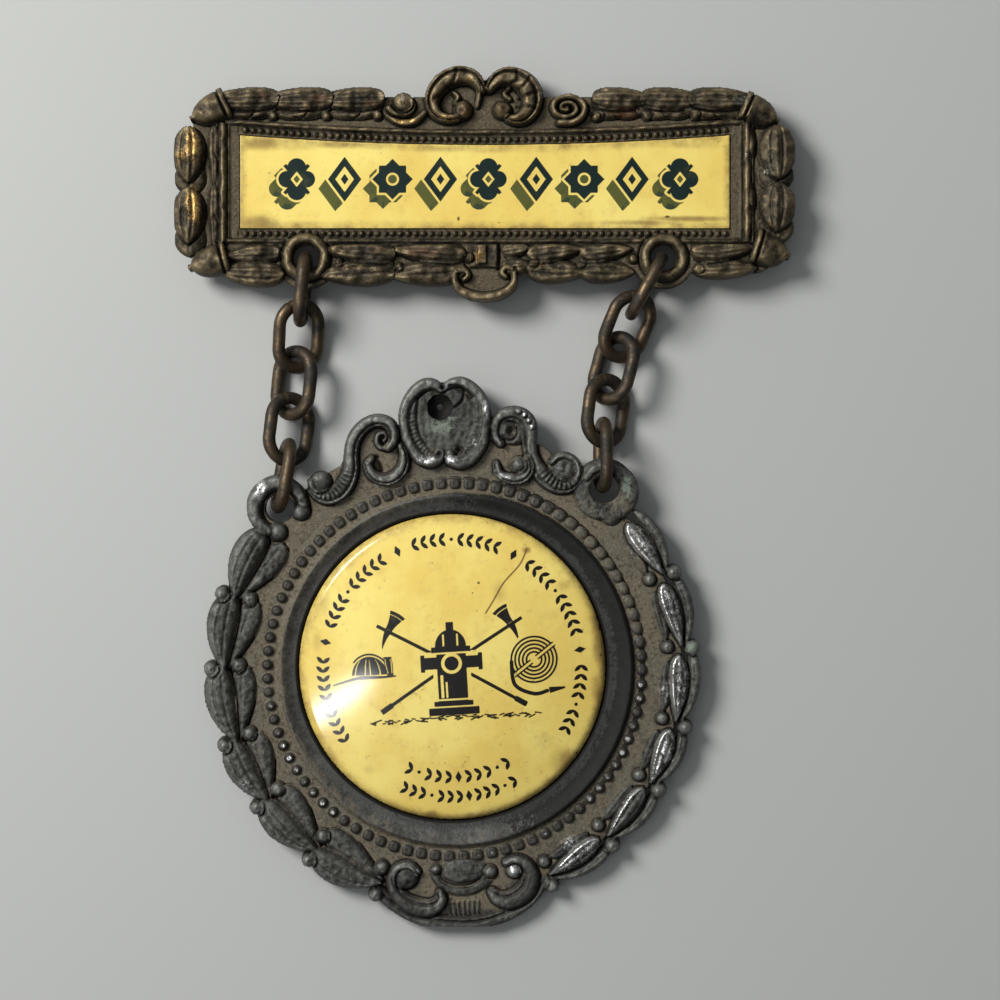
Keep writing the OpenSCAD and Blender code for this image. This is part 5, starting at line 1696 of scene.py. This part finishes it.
# %% The link's middle line
def oval(t):
    """A spot of the link's middle line, for t from 0 to 1: two half rings and two sides."""
    side, end = 2 * LINK_STRAIGHT, math.pi * LINK_SIDE
    s = (t % 1) * 2 * (side + end)
    lap = side + end
    back = s >= lap
    s = np.where(back, s - lap, s)
    a = np.clip((s - side) / LINK_SIDE, 0, math.pi)
    u = np.where(s < side, s - LINK_STRAIGHT, LINK_STRAIGHT + LINK_SIDE * np.sin(a))
    v = np.where(s < side, -LINK_SIDE, -LINK_SIDE * np.cos(a))
    sign = np.where(back, -1, 1)
    return u * sign, v * sign


# %% Wire round the middle line
def link(node, seed):
    """Wire carried round the oval, with a faint flat where the bender held it."""
    centre, axes = frame_of(node)
    t = np.arange(112) / 112
    w = np.arange(20) / 20 * 2 * np.pi
    u, v = oval(t)
    un, vn = oval(t + 0.001)
    run = np.stack([un - u, vn - v], 1)
    run /= np.linalg.norm(run, axis=1)[:, None]
    rng = np.random.default_rng(seed)
    phase = rng.uniform(0, 2 * np.pi, 3)
    wave = 0.012 * np.sin(4 * np.pi * t + phase[0]) + 0.008 * np.sin(14 * np.pi * t + phase[1])
    radius = (WIRE_R - 0.034 + wave)[:, None] * (1 + 0.01 * np.cos(2 * w + phase[2]))[None, :]
    seam = bell(t - 0.25, 0.004)
    radius = radius * (1 - 0.16 * seam)[:, None]
    out = np.cos(w)[None, :] * radius
    up = np.sin(w)[None, :] * radius
    lu = u[:, None] + run[:, 1][:, None] * out
    lv = v[:, None] - run[:, 0][:, None] * out
    points = centre + lu[..., None] * axes[0] + lv[..., None] * axes[1] + up[..., None] * axes[2]
    n, m = points.shape[:2]
    grid = np.arange(n * m).reshape(n, m)
    right, down = np.roll(grid, -1, axis=1), np.roll(grid, -1, axis=0)
    quads = np.stack([grid, right, np.roll(right, -1, axis=0), down], -1).reshape(-1, 4)
    piece = build(node + "_wire", points.reshape(-1, 3), quads, np.zeros((0, 3), int), {})
    bm = bmesh.new()
    bm.from_mesh(piece.data)
    bmesh.ops.recalc_face_normals(bm, faces=bm.faces)
    bm.to_mesh(piece.data)
    bm.free()
    return piece


# %% Two chains of five
links = []
for side in ("left", "right"):
    for k in range(1, 6):
        node = f"link_{side}_{k}"
        piece = link(node, 7 * k + len(side))
        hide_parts(node)
        links.append(piece)

# %% [markdown]
# ## Finishes
# Old cast metal is dark where air has tarnished it, black in the finest crevices, tan where
# dirt has dried on the open field, and bright where fingers have rubbed the high edges. The
# crevices' black is partly tarnish and partly painted shade. The cavity, crevice and field
# masks give these, painted masks say where a spot differs, some of them painted shade and
# painted glints, and noise breaks all of them up.


# %% Old metal
def old_metal(name, dark, mid, bright, grime, seed, wear=0.5, rough=0.56, dust=0.85, solid_share=0.6,
              accents=(), gloss=0.3):
    """Tarnished metal: dark to mid by noise, bright on the high edges, grime on the field,
    black in the crevices, which is tarnish and painted shade. An accent is a mask, its colour,
    its roughness and its metalness."""
    made = Finish(name, Specular_IOR_Level=gloss)
    cavity = made.attribute("cavity")
    crevice = made.attribute("crevice")
    cloud = made.noise(3.2, 5, 0.65, seed)
    fine = made.noise(0.7, 5, 0.72, seed + 3)
    speck = made.noise(0.22, 3, 0.7, seed + 6)
    grit = made.noise(0.34, 2, 0.6, seed + 9)
    metal = made.mix(dark, mid, (cloud * 0.4 + fine * 0.45 + speck * 0.4).between(0.5, 0.76))
    high = (cavity + (fine - 0.5) * 0.4).between(0.05, 0.45)
    metal = made.mix(metal, bright, high * wear * (speck * 1.6 - 0.1))
    hollow = (cavity * -1 + (cloud - 0.5) * 0.3).between(0.0, 0.25)
    settled = made.attribute("field") * 0.7 + hollow * 0.4 + made.attribute("tan") * 0.55
    dirt = (settled + (fine - 0.5) * 1.3 + (cloud - 0.5) * 0.9).between(0.15, 0.85) * dust
    colour = made.mix(metal, grime, dirt)
    colour = made.mix(colour, mid, dirt * (cloud * 0.5 + grit * 0.5).between(0.48, 0.6) * 0.55)
    colour = made.mix(colour, (0.25, 0.21, 0.145), dirt * speck.between(0.5, 0.66) * 0.6)
    colour = made.mix(colour, (0.02, 0.017, 0.012), dirt * (1 - grit).between(0.5, 0.64) * 0.6)
    roughness = rough + dirt * 0.3 + (fine - 0.5) * 0.3 - high * 0.1
    metallic = solid_share * (1 - dirt * 0.8)
    worn = (fine * 0.6 + speck * 0.6).between(0.45, 0.74)
    for mask, tint, shine, solid in accents:
        share = (made.attribute(mask) * (0.3 + worn * 1.1)).between(0.25, 0.75) * 0.9
        colour = made.mix(colour, tint, share)
        roughness = roughness * (1 - share) + share * shine
        metallic = metallic * (1 - share) + share * solid
    # The black is tarnish and painted shade: the finest hollows, the moats on the lower right, the bead
    # shadows and the button's seat.
    black = (crevice * -1 + (speck - 0.5) * 0.06).between(0.02, 0.16)
    colour = made.mix(colour, (0.005, 0.004, 0.003), black * 0.9)
    made.set(Base_Color=colour, Metallic=metallic * (1 - black), Roughness=roughness + black * 0.2)
    grain = cloud * 0.25 + fine * 0.45 + speck * 0.3 + grit * 0.25
    made.set(Normal=made.bump(grain, 0.12, 0.85))
    return made


# %% Bronze, pewter and the cove
# The silver accent is bright bare metal: rubbed spots, and painted glints on the ring's beads and the
# foot's pearl. The dark soot accent is dirt at the foot and, in part, painted shade.
SILVER = ("wear_and_glint", (0.68, 0.69, 0.67), 0.34, 1.0)
SOOT_AND_SHADE = ("soot_and_shade", (0.04, 0.038, 0.034), 0.6, 0.3)
GREEN = ("green", (0.17, 0.2, 0.16), 0.8, 0.1)
bronze = old_metal(
    "grimy bronze", (0.014, 0.012, 0.008), (0.075, 0.058, 0.034), (0.27, 0.205, 0.11),
    (0.1, 0.08, 0.046), 1.0, 0.75, 0.56, 0.85, 0.55,
    (("rust", (0.075, 0.033, 0.014), 0.6, 0.3), ("brass", (0.4, 0.25, 0.085), 0.42, 0.85),
     ("wear_and_glint", (0.5, 0.44, 0.33), 0.35, 1.0), GREEN),
)
pewter = old_metal(
    "dark pewter", (0.021, 0.021, 0.018), (0.09, 0.09, 0.079), (0.27, 0.272, 0.25),
    (0.145, 0.123, 0.083), 11.0, 0.6, 0.58, 0.95, 0.45, (SOOT_AND_SHADE, SILVER, GREEN),
)
# The cove's near-black accent is painted shade on its right half, and its silver accent holds the beads'
# painted glints.
cove = old_metal(
    "smooth pewter cove", (0.05, 0.05, 0.047), (0.12, 0.12, 0.112), (0.2, 0.2, 0.19),
    (0.145, 0.123, 0.083), 21.0, 0.35, 0.52, 0.95, 0.5,
    (("soot_and_shade", (0.007, 0.007, 0.006), 0.62, 0.05), ("cove", (0.034, 0.035, 0.033), 0.42, 0.5),
     ("bead", (0.045, 0.04, 0.032), 0.5, 0.5), SILVER), 0.12,
)
bar_piece.data.materials.append(bronze.material)
wreath_piece.data.materials.append(pewter.material)
ring_piece.data.materials.append(cove.material)


# %% [markdown]
# ## The links' finish
# Old copper wire is nearly black where it is sheltered and warm where links rub. Two noises
# choose between these, and roughness follows, so that the rubbed parts also shine.

# %% Copper wire
def copper_wire(seed):
    """Brown copper: almost black in patches, warm and rubbed bright in others."""
    made = Finish("brown copper wire", Specular_IOR_Level=0.35)
    cloud = made.noise(2.6, 4, 0.6, seed)
    fine = made.noise(0.45, 5, 0.7, seed + 2)
    speck = made.noise(0.15, 3, 0.6, seed + 4)
    dull = (cloud * 0.75 + fine * 0.4).between(0.46, 0.68)
    colour = made.mix((0.105, 0.073, 0.042), (0.021, 0.018, 0.014), dull)
    colour = made.mix(colour, (0.06, 0.055, 0.042), speck.between(0.52, 0.68) * 0.5)
    made.set(Base_Color=colour, Metallic=0.8 - dull * 0.35)
    made.set(Roughness=0.4 + dull * 0.2 + (fine - 0.5) * 0.2)
    made.set(Normal=made.bump(fine * 0.7 + speck * 0.3, 0.06, 0.7))
    return made


wire = copper_wire(31.0)
for piece in links:
    piece.data.materials.append(wire.material)


# %% [markdown]
# ## The celluloid's finish
# Celluloid is clear and yellows with age, unevenly and most at its rim, with the print below.
# A coat gives its gloss. The ink is read from the distance, so its edge needs no texture.

# %% Celluloid over print
def celluloid(name, seed, ink_colour, coat=0.8, shade_colour=None, stain_scale=6.0, rim_width=1.3):
    """Cream celluloid, yellowed unevenly and stained brown at its edge, over the print."""
    made = Finish(name, Coat_Roughness=0.14, Specular_IOR_Level=0.15)
    edge = made.attribute("edge")
    cloud = made.noise(stain_scale, 4, 0.55, seed)
    patch = made.noise(1.8, 6, 0.7, seed + 2)
    speck = made.noise(0.5, 3, 0.6, seed + 4)
    dust = made.noise(0.22, 2, 0.6, seed + 5)
    cream = made.mix((0.88, 0.72, 0.2), (0.8, 0.59, 0.135), cloud.between(0.36, 0.68))
    cream = made.mix(cream, (0.6, 0.4, 0.1), patch.between(0.48, 0.7) * 0.32)
    rim = (1 - edge.between(0.0, rim_width)) * (0.2 + patch.between(0.35, 0.62) * 0.8)
    cream = made.mix(cream, (0.3, 0.2, 0.06), rim * 0.75)
    stain = (made.attribute("stain") * (0.3 + patch * 1.2)).between(0.12, 0.8)
    cream = made.mix(cream, (0.25, 0.155, 0.045), stain * 0.8)
    spots = speck.between(0.6, 0.7) * patch.between(0.46, 0.6)
    cream = made.mix(cream, (0.2, 0.13, 0.045), spots * 0.55 + dust.between(0.68, 0.76) * 0.35)
    if shade_colour is not None:
        tone = made.mix(shade_colour, (0.016, 0.034, 0.022), made.attribute("under") * 0.8)
        cream = made.mix(cream, tone, 1 - made.attribute("shade").between(-0.05, 0.03))
    printed = 1 - made.attribute("ink").between(-0.05, 0.03)
    cream = made.mix(cream, ink_colour, printed * (0.9 + patch * 0.2).between(0.7, 1.0))
    cream = made.mix(cream, (0.05, 0.035, 0.015), made.attribute("speck").between(0.35, 0.6) * 0.85)
    made.set(Base_Color=cream, Coat_Weight=coat * (1 - stain * 0.35), Roughness=0.35 + patch * 0.2)
    made.set(Normal=made.bump(patch * 0.6 + speck * 0.2, 0.02, 0.25))
    return made, cream


slip_look, _ = celluloid("cream slip", 41.0, (0.002, 0.014, 0.012), 0.25, (0.095, 0.1, 0.02), 9.0, 1.0)
slip_piece.data.materials.append(slip_look.material)
button_look, cream = celluloid("cream button", 51.0, (0.004, 0.003, 0.002), 0.6)
crack_mask = 1 - button_look.attribute("crack").between(0.02, 0.11)
button_look.set(Base_Color=button_look.mix(cream, (0.13, 0.06, 0.02), crack_mask * 0.85))
button_piece.data.materials.append(button_look.material)

# %% [markdown]
# ## The clasp's finish
# The clasp under the bar keeps its CAD shape, since it is hardly seen. It only gets a dull
# nickel with patches, so that no piece is left with a plain colour.

# %% Dull nickel for the clasp
nickel = Finish("dull nickel", Metallic=1.0)
cloud = nickel.noise(3.0, 4, 0.6, 61.0)
fine = nickel.noise(0.3, 3, 0.6, 63.0)
nickel.set(Base_Color=nickel.mix((0.42, 0.41, 0.38), (0.16, 0.14, 0.11), cloud.between(0.4, 0.7)))
nickel.set(Roughness=0.32 + fine * 0.3, Normal=nickel.bump(fine, 0.03, 0.4))
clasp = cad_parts["clasp_pin"]
for slot in clasp.material_slots:
    slot.material = nickel.material

# %% [markdown]
# ## Every piece rides on the badge
# The badge has no joints, so all pieces ride on its one body. Each new piece hides the CAD
# node that it stands for.

# %% Ride and replace
for piece, node, slot in (
    (bar_piece, "bar_frame", "bronze"),
    (wreath_piece, "medallion_frame", "pewter"),
    (ring_piece, "medallion_frame", "pewter"),
    (slip_piece, "name_plate", "celluloid"),
    (button_piece, "medallion_button", "celluloid"),
):
    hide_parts(node)
    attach(piece, "root")
for piece in links:
    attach(piece, "root")
